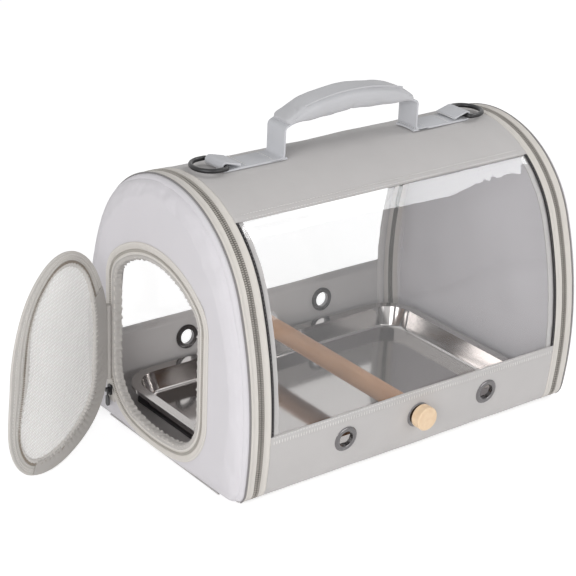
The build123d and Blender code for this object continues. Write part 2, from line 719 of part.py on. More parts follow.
# ---- Ridge straps and D-rings ----------------------------------------------------------
strap_top = body_height + webbing
strap_angle = degrees(asin(webbing_width / 2 / (roof_radius + webbing)))
bar_height = strap_top + ring_wire / 2 + loop_clearance
loop_inner = ring_wire / 2 + loop_clearance
loop_outer = loop_inner + webbing
for side, place in ((-1, "left"), (1, "right")):
    strap_start = riser_x - webbing / 2 - strap_overrun
    strap_length = ring_bar_x - strap_start
    with BuildPart() as strap:
        with BuildSketch(Plane.YZ.offset(min(side * strap_start, side * ring_bar_x))):
            add(skin(-webbing, 0))
            add(wedge(strap_angle), mode=Mode.INTERSECT)
        extrude(amount=strap_length)
        # The webbing turns round the ring's bar, and its upper ply comes back down.
        with BuildSketch(Plane.XZ.offset(-webbing_width / 2)):
            with BuildLine():
                tail_x = side * (ring_bar_x - loop_tail)
                bar_x = side * ring_bar_x
                Polyline((bar_x, bar_height + loop_outer), (tail_x, strap_top + webbing / 2),
                         (tail_x, strap_top - webbing / 2), (bar_x, strap_top - webbing / 2))
                ThreePointArc((bar_x, strap_top - webbing / 2),
                              (bar_x + side * loop_outer, bar_height),
                              (bar_x, bar_height + loop_outer))
            make_face()
            with Locations((bar_x, bar_height)):
                Circle(loop_inner, mode=Mode.SUBTRACT)
        extrude(amount=webbing_width)
    label_and_export(strap.part, f"{place}_strap")

    ring_half = (ring_inner_width + ring_wire) / 2
    bar_x = side * ring_bar_x
    leg_x = bar_x + side * ring_leg
    turn_x = bar_x + side * ring_corner
    turn_y = ring_half - ring_corner
    with BuildPart() as d_ring:
        with BuildLine():
            Line((bar_x, 0, bar_height), (bar_x, turn_y, bar_height))
            RadiusArc((bar_x, turn_y, bar_height), (turn_x, ring_half, bar_height), side * ring_corner)
            Line((turn_x, ring_half, bar_height), (leg_x, ring_half, bar_height))
            RadiusArc((leg_x, ring_half, bar_height), (leg_x + side * ring_half, 0, bar_height),
                      side * ring_half)
        with BuildSketch(Plane.XZ):
            with Locations((bar_x, bar_height)):
                Circle(ring_wire / 2)
        sweep()
        mirror(about=Plane.XZ)
    label_and_export(d_ring.part, f"{place}_d_ring")


# ---- Handle ----------------------------------------------------------------------------
handle_pivot = strap_top + riser_foot_gap + riser_foot_radius
def handle_outline(inset=0.0):
    """The handle's side view, from this far inside the webbing's outer face."""
    half_width = riser_x + webbing / 2
    arch_centre = handle_height - handle_radius
    arch_radius = handle_radius + webbing / 2
    outer_corner = handle_corner + webbing / 2
    corner_x = half_width - outer_corner
    corner_z = arch_centre + sqrt((arch_radius - outer_corner) ** 2 - corner_x**2)
    turn = degrees(atan2(corner_z - arch_centre, corner_x))
    with BuildSketch() as outline:
        with BuildLine():
            Line((0, strap_top + riser_foot_gap), (half_width - inset, strap_top + riser_foot_gap))
            Line((half_width - inset, strap_top + riser_foot_gap), (half_width - inset, corner_z))
            CenterArc((corner_x, corner_z), outer_corner - inset, 0, turn)
            CenterArc((0, arch_centre), arch_radius - inset, turn, 90 - turn)
            mirror(about=Plane.YZ)
        make_face()
    return outline.sketch


with BuildPart() as handle_webbing:
    with BuildSketch(Plane.XZ.offset(-webbing_width / 2)):
        add(handle_outline(0))
        add(handle_outline(webbing), mode=Mode.SUBTRACT)
    extrude(amount=webbing_width)
    with BuildSketch(Plane.YZ.offset(-far)):
        with Locations((0, handle_pivot)):
            Circle(riser_foot_radius)
        with BuildLine():
            Polyline((riser_foot_radius, handle_pivot),
                     (webbing_width / 2, handle_pivot + riser_taper), (webbing_width / 2, far),
                     (-webbing_width / 2, far), (-webbing_width / 2, handle_pivot + riser_taper),
                     (-riser_foot_radius, handle_pivot), close=True)
        make_face()
    extrude(amount=2 * far, mode=Mode.INTERSECT)
label_and_export(handle_webbing.part, "handle_webbing")

arch_axis = Axis((0, 0, handle_height - handle_radius), (0, 1, 0))
grip_angle = degrees(grip_half_length / handle_radius)


def grip_body(inset):
    """The grip's padding, this far inside its cover, bent along the handle's arch."""
    half_angle = grip_angle - degrees(inset / handle_radius)
    with BuildPart() as body:
        with BuildSketch(Plane.YZ):
            with Locations((0, handle_height)):
                RectangleRounded(grip_width - 2 * inset, grip_thickness - 2 * inset,
                                 grip_corner - inset)
        revolve(axis=arch_axis, revolution_arc=half_angle)
        mirror(about=Plane.YZ)
        ends = body.faces().filter_by(GeomType.PLANE).sort_by(SortBy.AREA)
        fillet(ShapeList(ends).sort_by(Axis.X)[0].edges(), grip_end_fillet - inset)
        fillet(body.faces().filter_by(GeomType.PLANE).sort_by(Axis.X)[-1].edges(),
               grip_end_fillet - inset)
    return body.part


with BuildPart() as grip_cover_part:
    add(grip_body(0))
    add(grip_body(grip_cover), mode=Mode.SUBTRACT)
    add(handle_webbing.part, mode=Mode.SUBTRACT)
label_and_export(grip_cover_part.part, "grip_cover")

with BuildPart() as grip_padding:
    add(grip_body(grip_cover))
    add(handle_webbing.part, mode=Mode.SUBTRACT)
label_and_export(grip_padding.part, "grip_padding")
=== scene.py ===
# %% [markdown]
# # A soft-sided travel carrier for a small bird
#
# The carrier is a cloth tube with an arched roof, clear windows, a zipped panel at each end and a
# mesh door. The CAD model gives every hard piece its place, and holds plain solids for the cloth.
# Here each cloth piece is modelled again as cloth, and every surface gets its finish.

# %% Load the frame
import json
import math

import bpy
import numpy as np
from mathutils import Matrix, Vector


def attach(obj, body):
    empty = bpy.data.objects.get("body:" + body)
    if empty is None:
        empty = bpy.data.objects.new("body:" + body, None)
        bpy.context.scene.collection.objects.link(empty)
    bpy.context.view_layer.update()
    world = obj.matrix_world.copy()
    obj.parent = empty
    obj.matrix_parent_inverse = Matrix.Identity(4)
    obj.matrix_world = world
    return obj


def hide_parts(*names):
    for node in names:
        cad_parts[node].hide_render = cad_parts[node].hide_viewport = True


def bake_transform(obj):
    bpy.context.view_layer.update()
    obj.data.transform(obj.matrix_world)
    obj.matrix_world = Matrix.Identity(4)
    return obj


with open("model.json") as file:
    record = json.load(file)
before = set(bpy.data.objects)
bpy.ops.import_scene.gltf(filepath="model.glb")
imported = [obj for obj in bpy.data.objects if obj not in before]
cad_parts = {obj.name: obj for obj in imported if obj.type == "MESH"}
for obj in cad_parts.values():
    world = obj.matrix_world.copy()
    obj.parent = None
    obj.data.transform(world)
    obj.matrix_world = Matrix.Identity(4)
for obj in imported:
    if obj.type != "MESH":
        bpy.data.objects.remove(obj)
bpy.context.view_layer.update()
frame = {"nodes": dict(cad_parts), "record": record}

# %% [markdown]
# ## The camera
#
# The camera was solved from the photograph: the arches at both ends and the straight hems give its
# place and its turn. It stands in front of the door end, a little over twice the carrier's height,
# with a long lens, so the far end is only slightly smaller than the near one.

# %% The camera
CAMERA_PLACE = Vector((-1.0200, -1.2300, 0.8228))
CAMERA_YAW = math.radians(37.964)      # from the +Y axis towards +X
CAMERA_PITCH = math.radians(23.661)    # downwards
CAMERA_ROLL = math.radians(2.296)
FOCAL_PIXELS = 1747.16                 # in a frame of 576 pixels
FRAME_PIXELS = 576

forward = Vector((math.sin(CAMERA_YAW) * math.cos(CAMERA_PITCH),
                  math.cos(CAMERA_YAW) * math.cos(CAMERA_PITCH), -math.sin(CAMERA_PITCH)))
right = forward.cross(Vector((0, 0, 1))).normalized()
up = right.cross(forward)
rolled_right = math.cos(CAMERA_ROLL) * right + math.sin(CAMERA_ROLL) * up
rolled_up = -math.sin(CAMERA_ROLL) * right + math.cos(CAMERA_ROLL) * up

camera_data = bpy.data.cameras.new("camera")
camera_data.sensor_width = 36.0
camera_data.lens = 36.0 * FOCAL_PIXELS / FRAME_PIXELS
camera = bpy.data.objects.new("camera", camera_data)
bpy.context.scene.collection.objects.link(camera)
turn = Matrix((rolled_right, rolled_up, -forward)).transposed()
camera.matrix_world = Matrix.Translation(CAMERA_PLACE) @ turn.to_4x4()
bpy.context.scene.camera = camera
bpy.context.scene.view_settings.view_transform = "Standard"
print("lens in mm:", round(camera_data.lens, 1))

# %% [markdown]
# ## Helpers for modelling
#
# Most pieces of a bag are strips that keep one cross-section and follow a seam line. By hand that is
# a profile drawn with Extrude and carried along with Spin. So one helper draws a profile from a
# single point, and carries it along a path of arcs and straight runs.

# %% Small helpers
MM = 0.001


def deselect():
    if bpy.context.object and bpy.context.object.mode != "OBJECT":
        bpy.ops.object.mode_set(mode="OBJECT")
    bpy.ops.object.select_all(action="DESELECT")


def only(piece):
    """Makes one object the selected and active one."""
    deselect()
    piece.select_set(True)
    bpy.context.view_layer.objects.active = piece


def apply_modifier(piece, kind, **settings):
    only(piece)
    modifier = piece.modifiers.new(kind.title(), kind)
    for key, value in settings.items():
        setattr(modifier, key, value)
    bpy.ops.object.modifier_apply(modifier=modifier.name)


def points_of(piece):
    """A piece's corners as an array of x, y and z."""
    flat = np.empty(len(piece.data.vertices) * 3)
    piece.data.vertices.foreach_get("co", flat)
    return flat.reshape(-1, 3)


def move_points(piece, points):
    piece.data.vertices.foreach_set("co", np.asarray(points, float).ravel())
    piece.data.update()


def normals_of(piece):
    flat = np.empty(len(piece.data.vertices) * 3)
    piece.data.vertices.foreach_get("normal", flat)
    return flat.reshape(-1, 3)


def face_outwards(piece):
    """Merges doubled points and turns every face of a closed piece outwards."""
    only(piece)
    bpy.ops.object.mode_set(mode="EDIT")
    bpy.ops.mesh.select_all(action="SELECT")
    bpy.ops.mesh.remove_doubles(threshold=1e-5)
    bpy.ops.mesh.normals_make_consistent(inside=False)
    bpy.ops.object.mode_set(mode="OBJECT")


def cut_faces(piece, chosen):
    """Deletes the chosen faces of a piece."""
    only(piece)
    bpy.ops.object.mode_set(mode="EDIT")
    bpy.ops.mesh.select_all(action="DESELECT")
    bpy.ops.object.mode_set(mode="OBJECT")
    for polygon, cut in zip(piece.data.polygons, chosen):
        polygon.select = bool(cut)
    bpy.ops.object.mode_set(mode="EDIT")
    bpy.ops.mesh.delete(type="FACE")
    bpy.ops.object.mode_set(mode="OBJECT")


def waves(points, seed, sizes, heights):
    """A smooth, repeatable unevenness over space, from a few slanted sine waves of each size."""
    source = np.random.default_rng(seed)
    total = np.zeros(len(points))
    for size, height in zip(sizes, heights):
        for _ in range(5):
            direction = source.normal(size=3)
            direction *= 2 * math.pi / (size * np.linalg.norm(direction))
            total += height / 2.2 * np.sin(points @ direction + source.uniform(0, 2 * math.pi))
    return total


def smoothstep(value):
    value = np.clip(value, 0, 1)
    return value * value * (3 - 2 * value)


# %% A profile from one point
def choose_points(piece, indices):
    """Selects these points of a piece in edit mode, and no others."""
    bpy.ops.mesh.select_all(action="DESELECT")
    bpy.ops.object.mode_set(mode="OBJECT")
    for index in indices:
        piece.data.vertices[index].select = True
    bpy.ops.object.mode_set(mode="EDIT")


def draw_profile(name, places, closed):
    """Shrinks a plane to one point, extrudes it from place to place and joins the ends."""
    deselect()
    bpy.ops.mesh.primitive_plane_add(size=0.01, location=(0, 0, 0))
    piece = bpy.context.object
    piece.name = piece.data.name = name
    bpy.ops.object.mode_set(mode="EDIT")
    bpy.ops.mesh.select_all(action="SELECT")
    bpy.ops.mesh.merge(type="CENTER")
    bpy.ops.transform.translate(value=places[0])
    for before, after in zip(places[:-1], places[1:]):
        bpy.ops.mesh.extrude_region_move(TRANSFORM_OT_translate={"value": after - before})
    if closed:
        choose_points(piece, (0, len(places) - 1))
        bpy.ops.mesh.edge_face_add()
    bpy.ops.mesh.select_all(action="SELECT")
    return piece


# %% Runs of a seam line
# A run is (radius, turn) on an arc, or (length, 0) straight on. Turns go from +Y towards +Z.
# Outwards is on the right-hand side of the way, as on the outside of a ring.
def right_of(heading):
    return Vector((math.sin(heading), -math.cos(heading)))


def turn_centre(here, heading, radius, turn):
    return here - right_of(heading) * math.copysign(radius, turn)


def carry(name, profile, start, heading, runs, closed=True, joined=False, step=4 * MM):
    """Carries a profile, given as x and height over the seam line, along its runs."""
    here, out = Vector(start), right_of(heading)
    piece = draw_profile(name, [Vector((x, *(here + out * height))) for x, height in profile], closed)
    for reach, turn in runs:
        if turn:
            centre = turn_centre(here, heading, reach, turn)
            steps = max(2, math.ceil(reach * abs(turn) / step))
            bpy.ops.mesh.spin(steps=steps, angle=-turn, center=(0, *centre), axis=(1, 0, 0))
            here = centre + Matrix.Rotation(turn, 2) @ (here - centre)
            heading += turn
        else:
            steps = max(1, math.ceil(reach / step))
            way = Vector((math.cos(heading), math.sin(heading))) * reach
            for _ in range(steps):
                bpy.ops.mesh.extrude_region_move(TRANSFORM_OT_translate={"value": (0, *(way / steps))})
            here += way
    if closed and not joined:
        bpy.ops.mesh.edge_face_add()
        choose_points(piece, range(len(profile)))
        bpy.ops.mesh.edge_face_add()
    bpy.ops.object.mode_set(mode="OBJECT")
    face_outwards(piece)
    return piece


def trace(start, heading, runs, spacing, shift=0.5):
    """Even places along the runs: the points, the outward directions and the distances."""
    total = sum(reach * abs(turn) if turn else reach for reach, turn in runs)
    count = max(1, round(total / spacing))
    wanted = [(i + shift) * total / count for i in range(count)]
    here, past, points, outs = Vector(start), 0.0, [], []
    for reach, turn in runs:
        length = reach * abs(turn) if turn else reach
        for distance in [d for d in wanted if past <= d < past + length]:
            share = (distance - past) / length
            if turn:
                centre = turn_centre(here, heading, reach, turn)
                points.append(centre + Matrix.Rotation(turn * share, 2) @ (here - centre))
            else:
                points.append(here + Vector((math.cos(heading), math.sin(heading))) * reach * share)
            outs.append(right_of(heading + turn * share))
        if turn:
            centre = turn_centre(here, heading, reach, turn)
            here = centre + Matrix.Rotation(turn, 2) @ (here - centre)
            heading += turn
        else:
            here += Vector((math.cos(heading), math.sin(heading))) * reach
        past += length
    return np.array(points), np.array(outs), np.array(wanted[:len(points)])


def flat_strip(low_x, high_x, thickness, columns, edge=0.4 * MM, top=0.0):
    """The closed profile of a strip with rounded edges, lying under its seam line."""
    upper = [(low_x + edge + (high_x - low_x - 2 * edge) * i / columns, top) for i in range(columns + 1)]
    return (upper + [(high_x, top - edge), (high_x, top - thickness + edge)]
            + [(x, top - thickness) for x, _ in reversed(upper)]
            + [(low_x, top - thickness + edge), (low_x, top - edge)])


# %% Copies along a line
def repeat(name, model, places, along, across, upward):
    """Copies a small model to each place, turned by three directions, as one mesh."""
    corners = points_of(model)
    faces = [list(polygon.vertices) for polygon in model.data.polygons]
    turned = (corners[None, :, 0, None] * along[:, None] + corners[None, :, 1, None] * across[:, None]
              + corners[None, :, 2, None] * upward[:, None] + places[:, None])
    count = len(corners)
    all_faces = [[v + i * count for v in face] for i in range(len(places)) for face in faces]
    mesh = bpy.data.meshes.new(name)
    mesh.from_pydata(turned.reshape(-1, 3), [], all_faces)
    piece = bpy.data.objects.new(name, mesh)
    bpy.context.scene.collection.objects.link(piece)
    return piece


def small_model(name, length, width, height):
    """One stitch or tooth: a flattened ball with few faces, as long as it is along X."""
    deselect()
    bpy.ops.mesh.primitive_uv_sphere_add(segments=6, ring_count=4, radius=0.5)
    model = bpy.context.object
    model.name = name
    bpy.ops.object.mode_set(mode="EDIT")
    bpy.ops.mesh.select_all(action="SELECT")
    bpy.ops.transform.rotate(value=math.pi / 2, orient_axis="Y", center_override=(0, 0, 0))
    bpy.ops.transform.resize(value=(length, width, height))
    bpy.ops.object.mode_set(mode="OBJECT")
    return model


def sew(name, line, x, size, rise=0.0, facing="out", across=False):
    """A row of stitches or teeth along a traced line.

    size: length, width and height of one. facing: "out" of the ring, or towards "-x" on its face.
    """
    points, outs, _ = line
    model = small_model(name + "_one", *size)
    count = len(points)
    flat = np.zeros((count, 1))
    out = np.hstack([flat, outs])
    way = np.hstack([flat, -outs[:, 1:], outs[:, :1]])
    axle = np.tile([1.0, 0.0, 0.0], (count, 1))
    places = np.hstack([flat + x, points]) + out * rise
    if facing == "out":
        basis = (axle, -way, out) if across else (way, axle, out)
    else:
        basis = (out, -way, -axle) if across else (way, out, -axle)
    row = repeat(name, model, places, *basis)
    bpy.data.objects.remove(model)
    return row


def sew_across(name, places, out, size, upright=False):
    """A row along X at one place of the section; upright stitches stand across the row."""
    model = small_model(name + "_one", *size)
    count = len(places)
    up = np.tile([0.0, *out], (count, 1))
    axle = np.tile([1.0, 0.0, 0.0], (count, 1))
    down = np.cross(up, axle)
    row = repeat(name, model, np.array(places), *((down, -axle, up) if upright else (axle, down, up)))
    bpy.data.objects.remove(model)
    return row


def join(name, pieces):
    """Joins pieces into the first one and gives it a name."""
    deselect()
    for piece in pieces:
        piece.select_set(True)
    bpy.context.view_layer.objects.active = pieces[0]
    if len(pieces) > 1:
        bpy.ops.object.join()
    pieces[0].name = pieces[0].data.name = name
    return pieces[0]


print("helpers ready")

# %% [markdown]
# ## Finishes
#
# Each finish is one function that builds its nodes. The patterns read Object coordinates, which are
# metres in the carrier's own frame, so a weave has the same scale on every piece.


# %% Node helpers
def colour(red, green, blue):
    """A colour as read from a picture, 0 to 255, in the linear values that a shader takes."""
    return tuple((v / 255 / 12.92) if v / 255 <= 0.04045 else ((v / 255 + 0.055) / 1.055) ** 2.4
                 for v in (red, green, blue)) + (1.0,)


def new_finish(name):
    material = bpy.data.materials.new(name)
    material.use_nodes = True
    nodes, links = material.node_tree.nodes, material.node_tree.links
    shader = nodes["Principled BSDF"]
    return material, nodes, links, shader


def node(nodes, kind, **settings):
    made = nodes.new(kind)
    for key, value in settings.items():
        if key in made.inputs:
            made.inputs[key].default_value = value
        else:
            setattr(made, key, value)
    return made


def object_coordinates(nodes, links, scale=(1, 1, 1), turn=(0, 0, 0)):
    place = nodes.new("ShaderNodeTexCoord")
    mapping = node(nodes, "ShaderNodeMapping", Scale=scale, Rotation=turn)
    links.new(place.outputs["Object"], mapping.inputs["Vector"])
    return mapping.outputs["Vector"]


def tinted(nodes, links, vector, dark, light, scale, detail=4.0):
    """A colour that drifts between two near tones."""
    noise = node(nodes, "ShaderNodeTexNoise", Scale=scale, Detail=detail)
    ramp = nodes.new("ShaderNodeValToRGB")
    ramp.color_ramp.elements[0].position, ramp.color_ramp.elements[1].position = 0.3, 0.7
    ramp.color_ramp.elements[0].color, ramp.color_ramp.elements[1].color = dark, light
    links.new(vector, noise.inputs["Vector"])
    links.new(noise.outputs["Fac"], ramp.inputs["Fac"])
    return ramp.outputs["Color"]


def darker(tone, share):
    return tuple(v * share for v in tone[:3]) + (1.0,)


# %% Woven cloth
def woven(name, tone, thread=0.9 * MM, drift=0.93, bump=0.25, sheen=0.25, roughness=0.85, crease=0.0):
    """Plain-woven cloth: two sets of threads, a drifting tone and, if asked, soft creases."""
    material, nodes, links, shader = new_finish(name)
    vector = object_coordinates(nodes, links)
    links.new(tinted(nodes, links, vector, darker(tone, drift), tone, 22.0), shader.inputs["Base Color"])
    weave = None
    for axis in ("X", "Y", "Z"):
        wave = node(nodes, "ShaderNodeTexWave", bands_direction=axis, Scale=0.314 / thread, Distortion=0.6)
        wave.inputs["Detail Scale"].default_value = 1.5
        links.new(vector, wave.inputs["Vector"])
        if weave is None:
            weave = wave.outputs["Fac"]
        else:
            add = node(nodes, "ShaderNodeMath", operation="ADD")
            links.new(weave, add.inputs[0])
            links.new(wave.outputs["Fac"], add.inputs[1])
            weave = add.outputs["Value"]
    fine = node(nodes, "ShaderNodeBump", Strength=bump, Distance=0.12 * MM)
    links.new(weave, fine.inputs["Height"])
    last = fine
    if crease:
        folds = node(nodes, "ShaderNodeTexNoise", Scale=14.0, Detail=2.0, Distortion=0.6)
        links.new(vector, folds.inputs["Vector"])
        soft = node(nodes, "ShaderNodeBump", Strength=crease, Distance=3 * MM)
        links.new(folds.outputs["Fac"], soft.inputs["Height"])
        links.new(soft.outputs["Normal"], fine.inputs["Normal"])
    links.new(last.outputs["Normal"], shader.inputs["Normal"])
    shader.inputs["Roughness"].default_value = roughness
    shader.inputs["Sheen Weight"].default_value = sheen
    shader.inputs["Specular IOR Level"].default_value = 0.25
    return material


# %% Plain hard finishes
def satin(name, tone, roughness, metallic=0.0, grain=60.0, bump=0.05, drift=0.85):
    """Moulded, painted or plated surfaces: a faint grain and a roughness that drifts."""
    material, nodes, links, shader = new_finish(name)
    vector = object_coordinates(nodes, links)
    links.new(tinted(nodes, links, vector, darker(tone, drift), tone, grain), shader.inputs["Base Color"])
    noise = node(nodes, "ShaderNodeTexNoise", Scale=grain * 12, Detail=3.0)
    links.new(vector, noise.inputs["Vector"])
    fine = node(nodes, "ShaderNodeBump", Strength=bump, Distance=0.2 * MM)
    links.new(noise.outputs["Fac"], fine.inputs["Height"])
    links.new(fine.outputs["Normal"], shader.inputs["Normal"])
    spread = node(nodes, "ShaderNodeMapRange")
    spread.inputs["To Min"].default_value = roughness * 0.8
    spread.inputs["To Max"].default_value = min(1.0, roughness * 1.25)
    links.new(noise.outputs["Fac"], spread.inputs["Value"])
    links.new(spread.outputs["Result"], shader.inputs["Roughness"])
    shader.inputs["Metallic"].default_value = metallic
    return material


# %% Wood
def timber(name, light, dark, stretch=(30, 4, 30), roughness=0.55):
    """Fine grain that runs along Y, the way a dowel is turned."""
    material, nodes, links, shader = new_finish(name)
    vector = object_coordinates(nodes, links, scale=stretch)
    links.new(tinted(nodes, links, vector, dark, light, 3.0, 8.0), shader.inputs["Base Color"])
    grain = node(nodes, "ShaderNodeTexNoise", Scale=9.0, Detail=6.0)
    links.new(vector, grain.inputs["Vector"])
    fine = node(nodes, "ShaderNodeBump", Strength=0.25, Distance=0.2 * MM)
    links.new(grain.outputs["Fac"], fine.inputs["Height"])
    links.new(fine.outputs["Normal"], shader.inputs["Normal"])
    shader.inputs["Roughness"].default_value = roughness
    return material


# %% Clear vinyl
def clear_sheet(name):
    """Clear flexible vinyl. The little that isn't see-through is mirror, which gives a polished face."""
    material, nodes, links, shader = new_finish(name)
    vector = object_coordinates(nodes, links)
    tone = tinted(nodes, links, vector, colour(232, 234, 236), colour(244, 245, 246), 6.0, 2.0)
    links.new(tone, shader.inputs["Base Color"])
    ripple = node(nodes, "ShaderNodeTexNoise", Scale=9.0, Detail=1.0)
    links.new(vector, ripple.inputs["Vector"])
    soft = node(nodes, "ShaderNodeBump", Strength=0.3, Distance=1.5 * MM)
    links.new(ripple.outputs["Fac"], soft.inputs["Height"])
    links.new(soft.outputs["Normal"], shader.inputs["Normal"])
    shader.inputs["Roughness"].default_value = 0.04
    shader.inputs["Alpha"].default_value = 0.055
    shader.inputs["Metallic"].default_value = 0.75
    return material


# %% Every finish of the carrier
FINISH = {
    # The end panels' cloth is paler than the body's for two reasons. Part is its own slight lavender tone. Part is
    # painted light: the end that faces the left-hand soft box gets a lighter copy of the same cloth.
    "panel_fabric": woven("panel_fabric", colour(217, 214, 218), drift=0.965, bump=0.08),
    "body_fabric": woven("body_fabric", colour(198, 195, 194), drift=0.95, bump=0.3, crease=0.05),
    "zip_tape": woven("zip_tape", colour(218, 213, 207), thread=0.7 * MM, drift=0.95, bump=0.4),
    "piping_cord": woven("piping_cord", colour(136, 133, 133), thread=0.5 * MM),
    "edging": woven("edging", colour(42, 40, 42), thread=0.6 * MM, sheen=0.1),
    "binding_fabric": woven("binding_fabric", colour(186, 182, 178), thread=0.6 * MM, crease=0.4),
    "reveal_fabric": woven("reveal_fabric", colour(196, 192, 188), thread=0.6 * MM, crease=0.4),
    "net_mesh": woven("net_mesh", colour(244, 242, 240), thread=0.4 * MM, bump=0.1, drift=0.97),
    "webbing": woven("webbing", colour(203, 204, 208), thread=1.1 * MM, bump=0.6, drift=0.95),
    "grip_fabric": woven("grip_fabric", colour(200, 200, 203), thread=0.8 * MM, bump=0.3, crease=0.15),
    "thread": woven("thread", colour(236, 234, 231), thread=0.3 * MM, bump=0.3),
    "door_tape": woven("door_tape", colour(208, 204, 199), thread=0.7 * MM, drift=0.95, bump=0.4),
    "net_binding": woven("net_binding", colour(214, 210, 206), thread=0.5 * MM, crease=0.2),
    "door_coil": satin("door_coil", colour(150, 140, 128), 0.5),
    "coil_nylon": satin("coil_nylon", colour(176, 171, 164), 0.4),
    # Painted shade: a darker copy of the coil's nylon, laid as a strip under the teeth.
    "coil_shade": satin("coil_shade", colour(120, 116, 111), 0.6),
    # The board's dark charcoal is partly its own dark colour and partly painted shade. It is darkened to give the
    # shadow under the tray's rim that shows through the doorway.
    "stiff_board": satin("stiff_board", colour(60, 57, 58), 0.6),
    "black_metal": satin("black_metal", colour(34, 33, 35), 0.32, grain=30.0),
    "eyelet_metal": satin("eyelet_metal", colour(120, 118, 119), 0.22, metallic=1.0, grain=20.0),
    "spring_steel": satin("spring_steel", colour(160, 160, 165), 0.3, metallic=1.0),
    "stud_steel": satin("stud_steel", colour(170, 170, 172), 0.35, metallic=1.0),
    "tray_steel": satin("tray_steel", colour(188, 184, 182), 0.1, metallic=1.0, grain=4.0, bump=0.002),
    "perch_wood": timber("perch_wood", colour(206, 160, 122), colour(176, 128, 92)),
    "knob_wood": timber("knob_wood", colour(240, 214, 182), colour(230, 200, 166), stretch=(60, 20, 60)),
    "clear_vinyl": clear_sheet("clear_vinyl"),
}
print("finishes:", len(FINISH))

# %% Where each finish goes on the CAD nodes
for name, piece in frame["nodes"].items():
    slot = next(part["material_slot"] for part in frame["record"]["subparts"] if part["node"] == name)
    finish = FINISH.get(slot, FINISH["grip_fabric"])
    piece.data.materials.clear()
    piece.data.materials.append(finish)


def dress(piece, finish, body, slot, *nodes, sharp=40):
    """Gives a finished piece its material and its body, and hides the CAD nodes that it stands for. The slot is not
    used.
    """
    only(piece)
    bpy.ops.object.shade_smooth_by_angle(angle=math.radians(sharp))
    piece.data.materials.clear()
    piece.data.materials.append(FINISH[finish])
    if nodes:
        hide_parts(*nodes)
    if body:
        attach(piece, body)
    print(piece.name, len(piece.data.polygons), "faces")
    return piece


# %% [markdown]
# ## The tube's section
#
# Seen from the end, the tube is five arcs that meet smoothly: a small corner, a long wall, the roof,
# and the same again down the front. Every strip of the body follows them, so the path is kept as
# those arcs. A place on it is its distance from the ridge, positive towards the front.

# %% The section as arcs
HEIGHT, WIDTH = 280 * MM, 270 * MM
ROOF_RADIUS, WIDEST, CORNER = 120 * MM, 75 * MM, 20 * MM
ROOF_CENTRE = HEIGHT - ROOF_RADIUS
side_drop = ROOF_CENTRE - WIDEST
WALL_RADIUS = (side_drop**2 + WIDTH**2 / 4 - ROOF_RADIUS**2) / (2 * (WIDTH / 2 - ROOF_RADIUS))
WALL_CENTRE = WALL_RADIUS - WIDTH / 2
WALL_TOP = math.atan2(side_drop, WALL_CENTRE)
corner_drop = WIDEST - CORNER
CORNER_Y = math.sqrt((WALL_RADIUS - CORNER) ** 2 - corner_drop**2) - WALL_CENTRE
WALL_FOOT = -math.asin(corner_drop / (WALL_RADIUS - CORNER))
HALF_TURN, QUARTER = math.pi, math.pi / 2

SECTION = [(CORNER_Y, CORNER, CORNER, -QUARTER, WALL_FOOT),
           (-WALL_CENTRE, WIDEST, WALL_RADIUS, WALL_FOOT, WALL_TOP),
           (0.0, ROOF_CENTRE, ROOF_RADIUS, WALL_TOP, HALF_TURN - WALL_TOP),
           (WALL_CENTRE, WIDEST, WALL_RADIUS, HALF_TURN - WALL_TOP, HALF_TURN - WALL_FOOT),
           (-CORNER_Y, CORNER, CORNER, HALF_TURN - WALL_FOOT, HALF_TURN + QUARTER)]
lengths = [radius * (end - begin) for _, _, radius, begin, end in SECTION]
RIDGE = lengths[0] + lengths[1] + lengths[2] / 2
FOOT_STATION = sum(lengths) - RIDGE


def station(height, front=True):
    """The distance from the ridge of a height on the wall."""
    angle = math.asin((height - WIDEST) / WALL_RADIUS)
    along = lengths[2] / 2 + WALL_RADIUS * (WALL_TOP - angle)
    return along if front else -along


def section_point(place):
    """The point at a distance from the ridge, and the heading there."""
    left = place + RIDGE
    for (centre_y, centre_z, radius, begin, end), length in zip(SECTION, lengths):
        if left <= length + 1e-9:
            angle = begin + left / radius
            return (centre_y + radius * math.cos(angle), centre_z + radius * math.sin(angle)), angle + QUARTER
        left -= length
    raise ValueError(place)


def section_runs(begin_at, end_at):
    """The runs of the section between two distances from the ridge."""
    runs, here = [], -RIDGE
    for (_, _, radius, begin, end), length in zip(SECTION, lengths):
        low, high = max(begin_at, here), min(end_at, here + length)
        if high - low > 1e-7:
            runs.append((radius, (high - low) / radius))
        here += length
    return runs


def on_section(name, profile, begin_at, end_at, closed=True, step=4 * MM):
    start, heading = section_point(begin_at)
    return carry(name, profile, start, heading, section_runs(begin_at, end_at), closed, step=step)


def section_line(begin_at, end_at, spacing, shift=0.5):
    start, heading = section_point(begin_at)
    return trace(start, heading, section_runs(begin_at, end_at), spacing, shift)


def hem_row(name, place, low_x, high_x, spacing, size, rise=0.0, upright=False):
    (y, z), heading = section_point(place)
    out = right_of(heading)
    count = round((high_x - low_x) / spacing)
    places = [(low_x + (i + 0.5) * (high_x - low_x) / count, y + out.x * rise, z + out.y * rise)
              for i in range(count)]
    return sew_across(name, places, out, size, upright)


